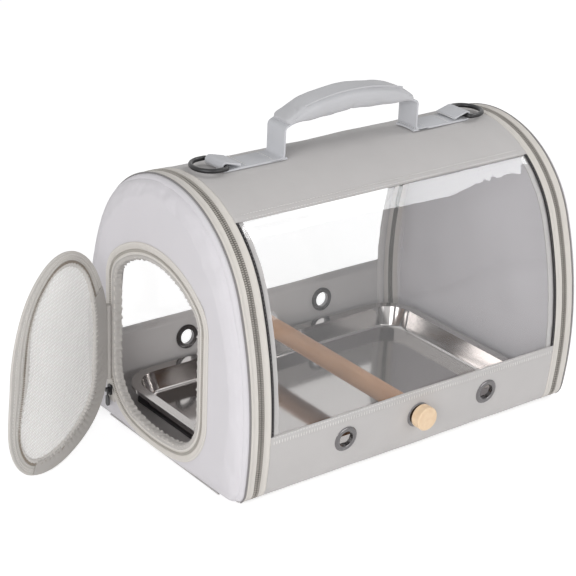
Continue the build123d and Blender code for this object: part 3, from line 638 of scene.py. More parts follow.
def unroll(points):
    """Distance from the ridge and outward direction of each point near the section."""
    best = np.full(len(points), np.inf)
    place, out = np.zeros(len(points)), np.zeros((len(points), 3))
    here = -RIDGE
    for (centre_y, centre_z, radius, begin, end), length in zip(SECTION, lengths):
        dy, dz = points[:, 1] - centre_y, points[:, 2] - centre_z
        middle = (begin + end) / 2
        angle = middle + (np.arctan2(dz, dy) - middle + math.pi) % (2 * math.pi) - math.pi
        inside = np.clip(angle, begin, end)
        miss = np.abs(angle - inside) * radius + 0.001 * np.abs(np.hypot(dy, dz) - radius)
        nearer = miss < best
        best[nearer] = miss[nearer]
        place[nearer] = (here + (inside - begin) * radius)[nearer]
        out[nearer] = np.stack([0 * inside, np.cos(inside), np.sin(inside)], 1)[nearer]
        here += length
    return place, out


def shape_cloth(piece, height):
    """Moves a piece of the tube in or out by a height that depends on x and the place."""
    points = points_of(piece)
    place, out = unroll(points)
    move_points(piece, points + out * height(points[:, 0], place)[:, None])
    return piece


print("half of the section in mm:", round(FOOT_STATION / MM, 1))

# %% [markdown]
# ## Roof, bands and windows
#
# The roof is one sheet of cloth that hangs over the two hoops, so it dips a little between them. Its
# hems are folded under and sewn twice over the vinyl. Each lower band is sewn to the vinyl the same
# way, with a row of short upright stitches under the hem. They are strips carried along the section.

# %% Sizes of the tube
TUBE_END = 178 * MM
CLOTH = 1.6 * MM
HEM_PLACE = math.radians(36.9) * ROOF_RADIUS     # the roof's hem, from the ridge
SILL = station(70 * MM)                          # the band's hem, from the ridge
HEM_LAP = 8 * MM


def hem_fold(distance, depth=0.5 * MM, width=8.5 * MM, seams=(1.8 * MM, 6.8 * MM)):
    """Height of a folded hem over the cloth, by the distance from its edge."""
    fold = depth * smoothstep((width - distance) / (1.5 * MM))
    for seam in seams:
        fold = fold - 0.35 * MM * np.exp(-((distance - seam) / (0.8 * MM)) ** 2)
    return fold


def span(x, half=TUBE_END):
    """0 at the hoops and 1 half-way between them."""
    return np.clip(np.cos(np.clip(x / half, -1, 1) * QUARTER), 0, 1)


# %% The roof
def roof_height(x, place):
    away = HEM_PLACE - np.abs(place)
    rows = np.stack([x, place, 0 * x], 1)
    sag = -1.2 * MM * span(x) * span(place, HEM_PLACE) ** 0.5
    hoop = 0.5 * MM * np.exp(-((np.abs(x) - 173.5 * MM) / (4 * MM)) ** 2)
    drape = waves(rows, 11, (0.09, 0.035), (0.35 * MM, 0.1 * MM)) * np.sqrt(span(x))
    return sag + hoop + drape + hem_fold(away)


roof = on_section("roof_cloth", flat_strip(-TUBE_END, TUBE_END, CLOTH, 90, top=-0.2 * MM),
                  -HEM_PLACE, HEM_PLACE, step=1.7 * MM)
shape_cloth(roof, roof_height)
dress(roof, "body_fabric", "shell", "body_fabric", "roof_panel")

STITCH = (2.6 * MM, 0.75 * MM, 0.55 * MM)
rows = [hem_row(f"roof_seam_{side}_{i}", side * (HEM_PLACE - seam), -TUBE_END + 2 * MM,
                TUBE_END - 2 * MM, 3.4 * MM, STITCH, rise=-0.15 * MM)
        for side in (-1, 1) for i, seam in enumerate((1.8 * MM, 6.8 * MM))]
dress(join("roof_stitches", rows), "thread", "shell", "body_fabric")

# %% The bands
EYELET_OUT = -math.asin((WIDEST - 42 * MM) / WALL_RADIUS)


def band_height(x, place):
    away = np.abs(place) - SILL
    rows = np.stack([x, np.abs(place), 0 * x + np.sign(place) * 0.3], 1)
    drape = waves(rows, 23, (0.11, 0.04), (0.5 * MM, 0.15 * MM)) * np.sqrt(span(x))
    foot = smoothstep((FOOT_STATION - np.abs(place)) / (20 * MM))
    eyelets = np.ones_like(x)
    for column in (-1, 0, 1):
        off = np.hypot(x - column * 89 * MM, np.abs(place) - station(42 * MM))
        eyelets *= smoothstep((off - 14 * MM) / (12 * MM))
        drape = drape - 0.5 * MM * np.exp(-((off - 17 * MM) / (6 * MM)) ** 2) * span(x)
    return drape * foot * eyelets + hem_fold(away, seams=(1.8 * MM,))


for side, place_name in ((-1, "rear"), (1, "front")):
    ends = sorted((side * SILL, side * FOOT_STATION))
    band = on_section(f"{place_name}_band_cloth",
                      flat_strip(-TUBE_END, TUBE_END, CLOTH, 90, top=-0.2 * MM), *ends, step=1.9 * MM)
    shape_cloth(band, band_height)
    (eyelet_y, eyelet_z), _ = section_point(side * station(42 * MM))
    for column in (-1, 0, 1):
        deselect()
        bpy.ops.mesh.primitive_cylinder_add(
            vertices=48, radius=8.9 * MM, depth=24 * MM, location=(column * 89 * MM, eyelet_y, eyelet_z),
            rotation=(QUARTER + side * EYELET_OUT, 0, 0))
        cutter = bpy.context.object
        apply_modifier(band, "BOOLEAN", operation="DIFFERENCE", object=cutter)
        bpy.data.objects.remove(cutter)
    dress(band, "body_fabric", "shell", "body_fabric", f"{place_name}_band")
    seams = [hem_row(f"{place_name}_seam", side * (SILL + 1.8 * MM), -TUBE_END + 2 * MM,
                     TUBE_END - 2 * MM, 3.4 * MM, STITCH, rise=-0.1 * MM),
             hem_row(f"{place_name}_bars", side * (SILL + 6.4 * MM), -TUBE_END + 2 * MM,
                     TUBE_END - 2 * MM, 3.1 * MM, (3.8 * MM, 0.8 * MM, 0.6 * MM),
                     rise=0.35 * MM, upright=True)]
    dress(join(f"{place_name}_band_stitches", seams), "thread", "shell", "body_fabric")

# %% [markdown]
# The windows are clear vinyl, cut a little slack. It waves gently, and puckers where the hem is
# gathered at the far end, which is what breaks up the light that it reflects.


# %% The windows
def vinyl_height(x, place):
    place = np.abs(place)
    edges = smoothstep(np.minimum(TUBE_END - 4 * MM - np.abs(x),
                                  np.minimum(place - HEM_PLACE, SILL - place)) / (14 * MM))
    rows = np.stack([x, place, 0 * x], 1)
    slack = waves(rows, 37, (0.16, 0.07), (0.9 * MM, 0.2 * MM))
    below = place - HEM_PLACE
    pucker = (0.18 * MM * np.sin(2 * math.pi * x / (17 * MM) + 1.9 * np.sin(x / (9 * MM)))
              * np.exp(-below / (9 * MM)) * smoothstep((x - 70 * MM) / (50 * MM))
              * smoothstep((176 * MM - x) / (12 * MM)) * smoothstep(below / (2 * MM)))
    return slack * edges + pucker


for side, place_name in ((-1, "rear"), (1, "front")):
    ends = sorted((side * (HEM_PLACE - HEM_LAP), side * (SILL + HEM_LAP)))
    window = on_section(f"{place_name}_vinyl",
                        flat_strip(-TUBE_END, TUBE_END, 0.5 * MM, 130, edge=0.15 * MM, top=-1.5 * MM),
                        *ends, step=2.4 * MM)
    shape_cloth(window, vinyl_height)
    dress(window, "clear_vinyl", "shell", "clear_vinyl", f"{place_name}_window")

    strips, seams = [], []
    ends = sorted((side * (HEM_PLACE - 1 * MM), side * (SILL + 1 * MM)))
    for x in (-1, 1):
        low_x, high_x = sorted((x * (TUBE_END - 3.4 * MM), x * TUBE_END))
        strips.append(on_section(f"{place_name}_edging_{x}",
                                 flat_strip(low_x, high_x, 1.1 * MM, 4, top=-0.15 * MM), *ends))
        seams.append(sew(f"{place_name}_edging_seam_{x}", section_line(*ends, 3.6 * MM),
                         x * (TUBE_END - 2.0 * MM), (2.4 * MM, 0.5 * MM, 0.4 * MM), rise=-0.1 * MM))
    dress(join(f"{place_name}_window_tape", strips), "edging", "shell", "edging_tape",
          f"{place_name}_window_edging")
    dress(join(f"{place_name}_tape_stitches", seams), "piping_cord", "shell", "edging_tape")

# %% [markdown]
# ## The base
#
# Under the board is one piece of cloth. Past each zip arch it narrows to a tongue that carries the
# foot of the end panel, and turns up a little at the corners, between the zip and the ground.

# %% The base
FAR_X = 199.5 * MM
BOTTOM_RUNS = section_runs(station(5.6 * MM), FOOT_STATION) + [(2 * CORNER_Y, 0)] + section_runs(
    -FOOT_STATION, -station(5.6 * MM))
start, heading = section_point(station(5.6 * MM))
parts = []
for x in (-1, 1):
    low_x, high_x = sorted((x * (TUBE_END - 0.5 * MM), x * FAR_X))
    parts.append(carry(f"base_turn_{x}", flat_strip(low_x, high_x, 1.8 * MM, 6), start, heading,
                       BOTTOM_RUNS, step=6 * MM))
deselect()
bpy.ops.mesh.primitive_plane_add(size=1, location=(0, 0, 1.8 * MM))
base = bpy.context.object
bpy.ops.object.mode_set(mode="EDIT")
bpy.ops.mesh.select_all(action="SELECT")
bpy.ops.transform.resize(value=(2 * TUBE_END, 2 * CORNER_Y, 1))
bpy.ops.mesh.subdivide(number_cuts=11)
bpy.ops.object.mode_set(mode="OBJECT")
bpy.ops.object.transform_apply(location=True, rotation=False, scale=False)
apply_modifier(base, "SOLIDIFY", thickness=1.7 * MM, offset=-1)
parts.append(base)
for x in (-1, 1):
    deselect()
    bpy.ops.mesh.primitive_plane_add(size=1, location=(0, 0, 0))
    tongue = bpy.context.object
    bpy.ops.object.mode_set(mode="EDIT")
    bpy.ops.mesh.select_all(action="SELECT")
    bpy.ops.transform.resize(value=(27 * MM, 188 * MM, 1))
    bpy.ops.transform.translate(value=(x * 192 * MM, 0, 1.5 * MM))
    bpy.ops.mesh.subdivide(number_cuts=5)
    bpy.ops.object.mode_set(mode="OBJECT")
    apply_modifier(tongue, "SOLIDIFY", thickness=1.3 * MM, offset=-1)
    parts.append(tongue)
base = dress(join("base_cloth", parts), "body_fabric", "shell", "body_fabric", "base_fabric")

# %% [markdown]
# ## Hoops and zips
#
# A spring-steel hoop in a sewn casing holds each end open. Outside it runs the zip: two halves of
# tape, a row of nylon teeth on each, and a dark cord in the seam of the end panel. The tape has a
# raised fold along its outer edge. One tooth is modelled and copied along the arch.

# %% The casings
HOOP_FOOT, ZIP_FOOT = station(7 * MM), station(6 * MM)
for side, side_name in ((-1, "left"), (1, "right")):
    middle = side * (TUBE_END - 4.5 * MM)
    curve = [(middle + 4.6 * MM * math.cos(a), -1.9 * MM - 4 * MM * math.sin(a))
             for a in (math.pi * i / 10 for i in range(11))]
    casing = on_section(f"{side_name}_casing", curve, -HOOP_FOOT, HOOP_FOOT, step=5 * MM)
    shape_cloth(casing, lambda x, place: -0.35 * MM * np.sin(place / (4.1 * MM)) * (1 - np.cos(place / 0.03)) / 2)
    dress(casing, "body_fabric", "shell", "body_fabric", f"{side_name}_hoop_casing", f"{side_name}_hoop")

# %% The zips round both ends
TOOTH_PITCH = 2.1 * MM
for side, side_name in ((-1, "left"), (1, "right")):
    for half, near, middle, far in (("body", 178, 185.6, 188.85), ("panel", 200, 192.4, 189.15)):
        body = "shell" if half == "body" else f"{side_name}_end"
        near, middle, far = (side * v * MM for v in (near, middle, far))
        way = 1 if middle > near else -1
        fold = near + way * 2.2 * MM
        top = [(near, -0.1 * MM), (near + way * 0.5 * MM, 0.35 * MM), (fold - way * 0.8 * MM, 0.5 * MM),
               (fold, 0.42 * MM), (fold + way * 0.7 * MM, -0.05 * MM), (fold + way * 2.6 * MM, -0.1 * MM),
               (middle - way * 0.9 * MM, 0.0), (middle - way * 0.3 * MM, 0.25 * MM),
               (middle, 0.15 * MM), (middle + way * 0.2 * MM, -0.2 * MM)]
        profile = top + [(middle + way * 0.2 * MM, -1.3 * MM), (near, -1.4 * MM)]
        tape = on_section(f"{side_name}_{half}_tape", profile, -ZIP_FOOT, ZIP_FOOT, step=4 * MM)
        shape_cloth(tape, lambda x, place: 0.12 * MM * np.sin(place / (7 * MM)) * np.sin(place / (19 * MM)))
        dress(tape, "zip_tape", body, "zip_tape", f"{side_name}_{half}_zip_tape", sharp=50)
        # A dark strip under each row of teeth. It is painted shade, for the shadow between and below the teeth.
        coil_shade_strip = on_section(f"{side_name}_{half}_backing",
                             flat_strip(*sorted((middle, far)), 1.2 * MM, 2, edge=0.2 * MM, top=-0.1 * MM),
                             -ZIP_FOOT, ZIP_FOOT, step=5 * MM)
        dress(coil_shade_strip, "coil_shade", body, "coil_nylon")
        line = section_line(-ZIP_FOOT, ZIP_FOOT, TOOTH_PITCH, 0.25 if half == "body" else 0.75)
        teeth = sew(f"{side_name}_{half}_teeth", line, (middle + far) / 2,
                    (3.1 * MM, 1.25 * MM, 1.7 * MM), rise=0.05 * MM, across=True)
        dress(teeth, "coil_nylon", body, "coil_nylon", f"{side_name}_{half}_zip_coil")
    edge = [(199.6, -0.9), (202.6, -0.9), (204.2, -1.4), (205.6, -2.4), (206.4, -4.2), (206.4, -6.5), (199.6, -6.5)]
    lip = on_section(f"{side_name}_lip", [(side * x * MM, up * MM) for x, up in edge], -ZIP_FOOT, ZIP_FOOT,
                     step=5 * MM)
    dress(lip, "panel_fabric", f"{side_name}_end", "panel_fabric", sharp=60)
    cord_x, cord_up = side * 201.0 * MM, -0.2 * MM
    ring = [(cord_x + 0.95 * MM * math.cos(a), cord_up + 0.85 * MM * math.sin(a))
            for a in (2 * math.pi * i / 10 for i in range(10))]
    cord = on_section(f"{side_name}_cord", ring, -station(3 * MM), station(3 * MM), step=5 * MM)
    dress(cord, "piping_cord", f"{side_name}_end", "piping_cord", f"{side_name}_piping")
print("teeth on one half of a zip:", len(line[2]))

# %% [markdown]
# ## The padded end panels
#
# Each end is a pad of foam between two cloths, sewn into the zip. Real padding swells between its
# seams, so cloth under a little pressure does the same here: the CAD solid is remeshed, its seams
# are pinned, and a short simulation fills it out. How far a point may move is capped.


# %% Filling a pad
def swell(name, nodes, voxel, pressure, limit, pinned, shrink=0.0):
    """Joins copies of CAD solids, gives them one skin and lets pressure fill it."""
    copies = []
    for source in nodes:
        copy = bpy.data.objects.new(f"{name}_{source}", frame["nodes"][source].data.copy())
        bpy.context.scene.collection.objects.link(copy)
        copies.append(copy)
    pad = join(name, copies)
    face_outwards(pad)
    apply_modifier(pad, "REMESH", mode="VOXEL", voxel_size=voxel)
    rest = points_of(pad)
    held = pinned(rest)
    if shrink:
        move_points(pad, rest - normals_of(pad) * (shrink * (1 - held))[:, None])
    only(pad)
    group = pad.vertex_groups.new(name="pinned")
    for index in range(len(rest)):
        group.add([index], float(held[index]), "REPLACE")
    begin = points_of(pad)
    modifier = pad.modifiers.new("Cloth", "CLOTH")
    modifier.settings.quality = 5
    modifier.settings.mass = 0.3
    modifier.settings.use_pressure = True
    modifier.settings.uniform_pressure_force = pressure
    modifier.settings.vertex_group_mass = "pinned"
    modifier.settings.effector_weights.gravity = 0
    modifier.point_cache.frame_start, modifier.point_cache.frame_end = 1, 20
    for frame_number in range(1, 21):
        bpy.context.scene.frame_set(frame_number)
    bpy.ops.object.modifier_apply(modifier=modifier.name)
    bpy.context.scene.frame_set(1)
    moved = points_of(pad) - begin
    length = np.linalg.norm(moved, axis=1)
    share = np.minimum(1, limit / np.maximum(length, 1e-9))
    move_points(pad, begin + moved * share[:, None])
    print(name, "moved at most", round(float((length * share).max()) / MM, 1), "mm")
    pad.vertex_groups.clear()
    apply_modifier(pad, "SUBSURF", levels=1, render_levels=1)
    return pad


# %% Both panels
PANEL_BACK, PANEL_FACE = 200 * MM, 214 * MM
for side, side_name in ((-1, "left"), (1, "right")):
    def seam_of_panel(points):
        return smoothstep((PANEL_BACK + 4 * MM - np.abs(points[:, 0])) / (3 * MM))

    panel = swell(f"{side_name}_pad", [f"{side_name}_panel"], 3.6 * MM, 3.0, 5 * MM, seam_of_panel,
                  shrink=1.2 * MM)
    points = points_of(panel)
    middle = np.clip(np.abs(points[:, 0]) - PANEL_BACK, 0, None) / (PANEL_FACE - PANEL_BACK)
    points[:, 0] += side * middle * waves(points, 41 + side, (0.12, 0.05), (0.5 * MM, 0.2 * MM))
    slack = (1 - middle) * smoothstep((points[:, 2] - 50 * MM) / (40 * MM))
    points[:, 0] += side * slack * waves(points, 47 + side, (0.1, 0.055), (1.5 * MM, 0.6 * MM))
    top = PANEL_FACE - 0.1 * MM if side < 0 else PANEL_FACE + 3 * MM
    points[:, 0] = np.clip(points[:, 0], -top, top)
    move_points(panel, points)
    dress(panel, "panel_fabric", f"{side_name}_end", "panel_fabric", f"{side_name}_panel", sharp=180)

# %% [markdown]
# ## The door's opening
#
# The outline is an arch with a broad head and a softly rounded foot. A flat band of zip tape is sewn
# round it, with the teeth near its inner side, and gathered cloth turns in over the padding. Gathers
# are narrow waves across the strip, so the strip is carried first and then waved by formula.


# %% The arch of a door
def arch_runs(half_width, foot, head, head_radius, foot_radius, top_corner, low_corner):
    """Runs of the outline, from the middle of its foot towards +Y."""
    head_centre, foot_centre = head - head_radius, foot + foot_radius
    top_y, low_y = half_width - top_corner, half_width - low_corner
    head_side = 1 if head_radius > top_corner else -1
    lift = math.sqrt((head_radius - top_corner) ** 2 - top_y**2)
    top_z = head_centre + head_side * lift
    low_z = foot_centre - math.sqrt((foot_radius - low_corner) ** 2 - low_y**2)
    top_angle = math.atan2(lift, head_side * top_y)
    low_angle = math.atan2(low_z - foot_centre, low_y)
    side = top_z - low_z
    return [(foot_radius, QUARTER + low_angle), (low_corner, -low_angle), (side, 0),
            (top_corner, top_angle), (head_radius, 2 * (QUARTER - top_angle)), (top_corner, top_angle),
            (side, 0), (low_corner, -low_angle), (foot_radius, QUARTER + low_angle)]


def run_length(runs):
    return sum(reach * abs(turn) if turn else reach for reach, turn in runs)


def nearest_on(line, points):
    """Distance along a traced line, and the outward direction, nearest to each point."""
    places, outs, distances = line
    found = np.empty(len(points), int)
    for begin in range(0, len(points), 4000):
        block = points[begin:begin + 4000, None, 1:]
        found[begin:begin + 4000] = ((block - places[None]) ** 2).sum(2).argmin(1)
    return distances[found], outs[found], ((points[:, 1:] - places[found]) * outs[found]).sum(1)


OPENING = arch_runs(*(v * MM for v in (86, 9, 215, 110, 200, 40, 60)))
OPENING_START = (0, 9 * MM)
FACE_X = -214 * MM
opening_line = trace(OPENING_START, 0.0, OPENING, 1 * MM)
print("length of the opening's outline in mm:", round(run_length(OPENING) / MM))

# The padding thins out towards the opening.
panel = bpy.data.objects["left_pad"]
points = points_of(panel)
_, _, height = nearest_on(opening_line, points)
close = 1 - smoothstep((height + 15.5 * MM) / (34 * MM))
points[:, 0] = FACE_X + (points[:, 0] - FACE_X) * (1 - 0.5 * close)
move_points(panel, points)

# %% Zip tape round the opening
band = [(FACE_X + 0.1 * MM, -0.4 * MM), (FACE_X - 0.5 * MM, 0), (FACE_X - 0.9 * MM, -0.5 * MM),
        (FACE_X - 1.0 * MM, -1.8 * MM), (FACE_X - 0.75 * MM, -2.6 * MM), (FACE_X - 0.75 * MM, -4.6 * MM),
        (FACE_X - 1.2 * MM, -5.2 * MM), (FACE_X - 1.25 * MM, -6.0 * MM), (FACE_X - 0.7 * MM, -6.6 * MM),
        (FACE_X - 0.7 * MM, -9.6 * MM), (FACE_X - 0.95 * MM, -10.2 * MM),
        (FACE_X - 1.0 * MM, -12.4 * MM), (FACE_X - 0.9 * MM, -15.6 * MM), (FACE_X + 0.1 * MM, -15.6 * MM)]
tape = carry("opening_band", band, OPENING_START, 0.0, OPENING, joined=True, step=3 * MM)
deselect()
bpy.ops.mesh.primitive_plane_add(size=1, location=(0, 0, 0), rotation=(0, -QUARTER, 0))
tail = bpy.context.object
bpy.ops.object.transform_apply(location=False, rotation=True, scale=False)
bpy.ops.object.mode_set(mode="EDIT")
bpy.ops.mesh.select_all(action="SELECT")
bpy.ops.transform.resize(value=(1, 13.6 * MM, 23.6 * MM))
bpy.ops.mesh.subdivide(number_cuts=3)
bpy.ops.transform.translate(value=(FACE_X - 0.75 * MM, 77.5 * MM, 38.5 * MM))
bpy.ops.object.mode_set(mode="OBJECT")
apply_modifier(tail, "SOLIDIFY", thickness=0.7 * MM, offset=-1)
face_outwards(tail)
tape = dress(join("opening_zip_band", [tape, tail]), "zip_tape", "left_end", "zip_tape",
             "opening_zip_tape", sharp=50)

HINGE_LOW, HINGE_HIGH = 51.7 * MM, 130.3 * MM
coil_line = trace(OPENING_START, 0.0, OPENING, TOOTH_PITCH)
keep = ~((coil_line[0][:, 0] > 60 * MM) & (coil_line[0][:, 1] > HINGE_LOW) & (coil_line[0][:, 1] < HINGE_HIGH))
coil_line = tuple(values[keep] for values in coil_line)
teeth = sew("opening_teeth", coil_line, FACE_X - 1.3 * MM, (3.0 * MM, 1.3 * MM, 1.4 * MM),
            rise=-8.1 * MM, facing="-x", across=True)
dress(teeth, "coil_nylon", "left_end", "coil_nylon", "opening_zip_coil")
line = trace(OPENING_START, 0.0, OPENING, 3.2 * MM)
seams = [sew(f"opening_seam_{i}", line, FACE_X - 0.95 * MM, (2.3 * MM, 0.6 * MM, 0.4 * MM), rise=-inset * MM,
             facing="-x") for i, inset in enumerate((1.3, 11.2))]
dress(join("opening_stitches", seams), "thread", "left_end", "zip_tape")


# %% Gathered cloth round the reveal
def gathers(distance, seed, wave_length=7.5 * MM):
    """Uneven gathers along a strip, from -1 to 1."""
    source = np.random.default_rng(seed)
    phase = source.uniform(0, 2 * math.pi, 4)
    wander = sum(np.sin(distance / size + p) for size, p in zip((0.023, 0.037, 0.061), phase))
    return np.sin(2 * math.pi * distance / wave_length + 1.3 * wander)


lining = [(FACE_X - 1.1 * MM, -12.2 * MM), (FACE_X - 1.6 * MM, -13.6 * MM), (FACE_X - 1.3 * MM, -15.2 * MM),
          (FACE_X + 0.2 * MM, -16.2 * MM)]
lining += [(FACE_X + depth * MM, -16.5 * MM + 0.5 * MM * math.sin(math.pi * depth / 13.5))
           for depth in (1.2, 2.2, 3.2, 4.2, 5.2, 6.2)]
lining += [(FACE_X + 7.2 * MM, -16.2 * MM), (FACE_X + 7.6 * MM, -15.6 * MM), (FACE_X + 7.2 * MM, -15.0 * MM)]
reveal = carry("reveal", lining, OPENING_START, 0.0, OPENING, joined=True, step=1.5 * MM)
points = points_of(reveal)
distance, outs, height = nearest_on(opening_line, points)
inner = smoothstep((-height - 12.6 * MM) / (2.8 * MM))
ripple = inner * (1.0 * MM * gathers(distance, 3, 9 * MM) + 0.8 * MM * gathers(distance + points[:, 0] * 0.4, 4, 4.7 * MM))
points[:, 1:] += outs * np.minimum(ripple, 0.6 * MM)[:, None]
front = smoothstep((FACE_X + 4 * MM - points[:, 0]) / (4 * MM)) * inner
points[:, 0] += front * 0.5 * MM * gathers(distance, 8, 5.1 * MM)
points[:, 0] = np.maximum(points[:, 0], FACE_X - 2.1 * MM)
move_points(reveal, points)
dress(reveal, "reveal_fabric", "left_end", "binding_fabric", "opening_binding", sharp=180)
reach = run_length(OPENING)

# %% [markdown]
# ## The mesh door
#
# The door is a flat ring of tape with the net held in gathered cloth. It is made closed, in the plane
# of the opening with its hinge at the origin, where its outline is easy to follow, and then turned
# out to the angle at which it stands open.

# %% Placing the door
DOOR = arch_runs(*(v * MM for v in (84, 2, 211, 64, 115, 98, 62)))
DOOR_MIDDLE = -84.5 * MM
DOOR_START = (DOOR_MIDDLE, 2 * MM)
HINGE = Vector((-217.8 * MM, 77 * MM, 0))
OPEN_ANGLE = math.radians(62.7)
door_place = Matrix.Translation(HINGE) @ Matrix.Rotation(-OPEN_ANGLE, 4, "Z")
door_line = trace(DOOR_START, 0.0, DOOR, 1 * MM)


def hang_door(piece):
    """Keeps a piece clear of the hinge and the ground, and turns it from closed to open."""
    points = points_of(piece)
    points[:, 1] = np.minimum(points[:, 1], -3.15 * MM)
    points[:, 2] = np.maximum(points[:, 2], 0.8 * MM)
    move_points(piece, points)
    piece.data.transform(door_place)
    piece.data.update()
    return piece


print("length of the door's outline in mm:", round(run_length(DOOR) / MM))

# %% [markdown]
# The ring round the net isn't even: it is narrow at the head and the foot and broad at the upper far
# corner. Each band is carried as if the ring were 28 mm wide all round, and is then spread between
# the outer edge and the net's edge. Both were measured every 20 degrees round the door's middle.

# %% The uneven ring
RING_WIDTH = 28 * MM
RING_MIDDLE = (-88 * MM, 106 * MM)
stands = [-2.4, -4.9, -5.1, -1.5, -0.4, 1.1, 1.3, -2.3, -1.5, 0, 0, 0, 0, 0.7, 3.0, 4.0, 2.5, 1.7]
insets = [31.6, 34.5, 29.9, 24, 19.7, 12.5, 13.5, 22, 24.8, 24, 26, 27.5, 25.3, 20.1, 15.6, 10, 15.8, 22]


def round_the_clock(values):
    """A smooth value for every degree, from one for every 20 degrees."""
    fine = np.interp(np.arange(360), np.arange(0, 361, 20), values + values[:1])
    for _ in range(2):
        fine = sum(np.roll(fine, k) for k in range(-9, 10)) / 19
    return fine * MM


stand_at, inset_at = round_the_clock(stands), round_the_clock(insets)


def clock(places):
    """Whole degrees round the ring's middle, from the far side upwards, for (y, z) places."""
    turn = np.degrees(np.arctan2(places[:, 1] - RING_MIDDLE[1], RING_MIDDLE[0] - places[:, 0]))
    return np.rint(turn).astype(int) % 360


def spread_ring(piece):
    """Spreads a band of the even ring to the ring's real width."""
    points = points_of(piece)
    _, outs, height = nearest_on(door_line, points)
    turn = clock(points[:, 1:])
    fitted = stand_at[turn] + height / RING_WIDTH * (inset_at[turn] + stand_at[turn])
    points[:, 1:] += outs * (fitted - height)[:, None]
    move_points(piece, points)
    return piece


def ring_line(spacing, inset, shift=0.5):
    """A line round the ring at an inset of the even ring, moved to its real place."""
    places, outs, distances = trace(DOOR_START, 0.0, DOOR, spacing, shift)
    turn = clock(places)
    fitted = stand_at[turn] - inset / RING_WIDTH * (inset_at[turn] + stand_at[turn])
    return places + outs * fitted[:, None], outs, distances


# %% The door's tape, teeth and hinge
band = [(0.0, -0.5 * MM), (-0.9 * MM, 0.0), (-1.8 * MM, -0.5 * MM), (-2.0 * MM, -3 * MM),
        (-1.9 * MM, -22 * MM), (-0.3 * MM, -22.3 * MM), (-0.05 * MM, -18.6 * MM), (-0.3 * MM, -18.0 * MM),
        (-0.2 * MM, -12.4 * MM), (0.4 * MM, -11.6 * MM), (0.45 * MM, -9.9 * MM), (-0.2 * MM, -9.2 * MM),
        (-0.1 * MM, -3.8 * MM), (0.35 * MM, -2.6 * MM)]
tape = spread_ring(carry("door_band", band, DOOR_START, 0.0, DOOR, joined=True, step=3 * MM))
dress(hang_door(tape), "door_tape", "door", "zip_tape", "door_zip_tape", sharp=50)


def off_the_hinge(line, low_y):
    """Leaves out the part of a line of teeth that lies along the hinge."""
    places = line[0]
    keep = ~((places[:, 0] > low_y) & (places[:, 1] > HINGE_LOW) & (places[:, 1] < HINGE_HIGH))
    return tuple(values[keep] for values in line)


coil_line = off_the_hinge(ring_line(TOOTH_PITCH, 19.6 * MM), -40 * MM)
teeth = sew("door_teeth", coil_line, 0.45 * MM, (3.4 * MM, 1.15 * MM, 1.3 * MM), facing="-x", across=True)
dress(hang_door(teeth), "door_coil", "door", "coil_nylon", "door_zip_coil")
seams = [sew(f"door_seam_{i}", ring_line(3.2 * MM, inset), 0.1 * MM, (2.3 * MM, 0.6 * MM, 0.5 * MM),
             facing="-x") for i, inset in enumerate((6.4 * MM, 15.0 * MM))]
dress(hang_door(join("door_stitches", seams)), "thread", "door", "zip_tape")

deselect()
bpy.ops.mesh.primitive_cylinder_add(vertices=28, radius=2.7 * MM, depth=77.6 * MM,
                                    location=(HINGE.x, HINGE.y, 91 * MM), end_fill_type="NGON")
hinge = bpy.context.object
bpy.ops.object.mode_set(mode="EDIT")
bpy.ops.mesh.select_all(action="DESELECT")
bpy.ops.object.mode_set(mode="OBJECT")
for polygon in hinge.data.polygons:
    polygon.select = abs(polygon.normal.z) > 0.9
bpy.ops.object.mode_set(mode="EDIT")
bpy.ops.mesh.inset(thickness=0.7 * MM, depth=0.4 * MM)
bpy.ops.object.mode_set(mode="OBJECT")
bpy.ops.object.transform_apply(location=True, rotation=True, scale=True)
hinge.name = hinge.data.name = "door_hinge_roll"
dress(hinge, "binding_fabric", "left_end", "binding_fabric", "door_hinge")

# %% The gathered binding
binding = [(-0.2 * MM, -20.8 * MM), (0.7 * MM, -22.0 * MM), (0.9 * MM, -23.6 * MM), (0.7 * MM, -25.4 * MM),
           (0.2 * MM, -26.8 * MM), (-0.7 * MM, -27.7 * MM), (-1.6 * MM, -28.0 * MM),
           (-2.4 * MM, -27.4 * MM), (-2.9 * MM, -25.5 * MM), (-3.0 * MM, -23.0 * MM), (-2.6 * MM, -21.4 * MM),
           (-2.0 * MM, -20.8 * MM)]
binding = spread_ring(carry("door_gathers", binding, DOOR_START, 0.0, DOOR, joined=True, step=1.5 * MM))
points = points_of(binding)
distance, outs, height = nearest_on(door_line, points)
points[:, 1:] += outs * (0.45 * MM * gathers(distance, 13, 6.5 * MM))[:, None]
points[:, 0] += 0.4 * MM * gathers(distance, 17, 5.5 * MM) + 0.2 * MM * gathers(distance, 19, 3.1 * MM)
move_points(binding, points)
dress(hang_door(binding), "net_binding", "door", "binding_fabric", "door_binding", sharp=180)


# %% [markdown]
# Along the hinge a broad strip of cloth covers the tape. It is carried as an open sheet round the
# whole ring, cut to its stretch, gathered by formula and given its thickness at the end.

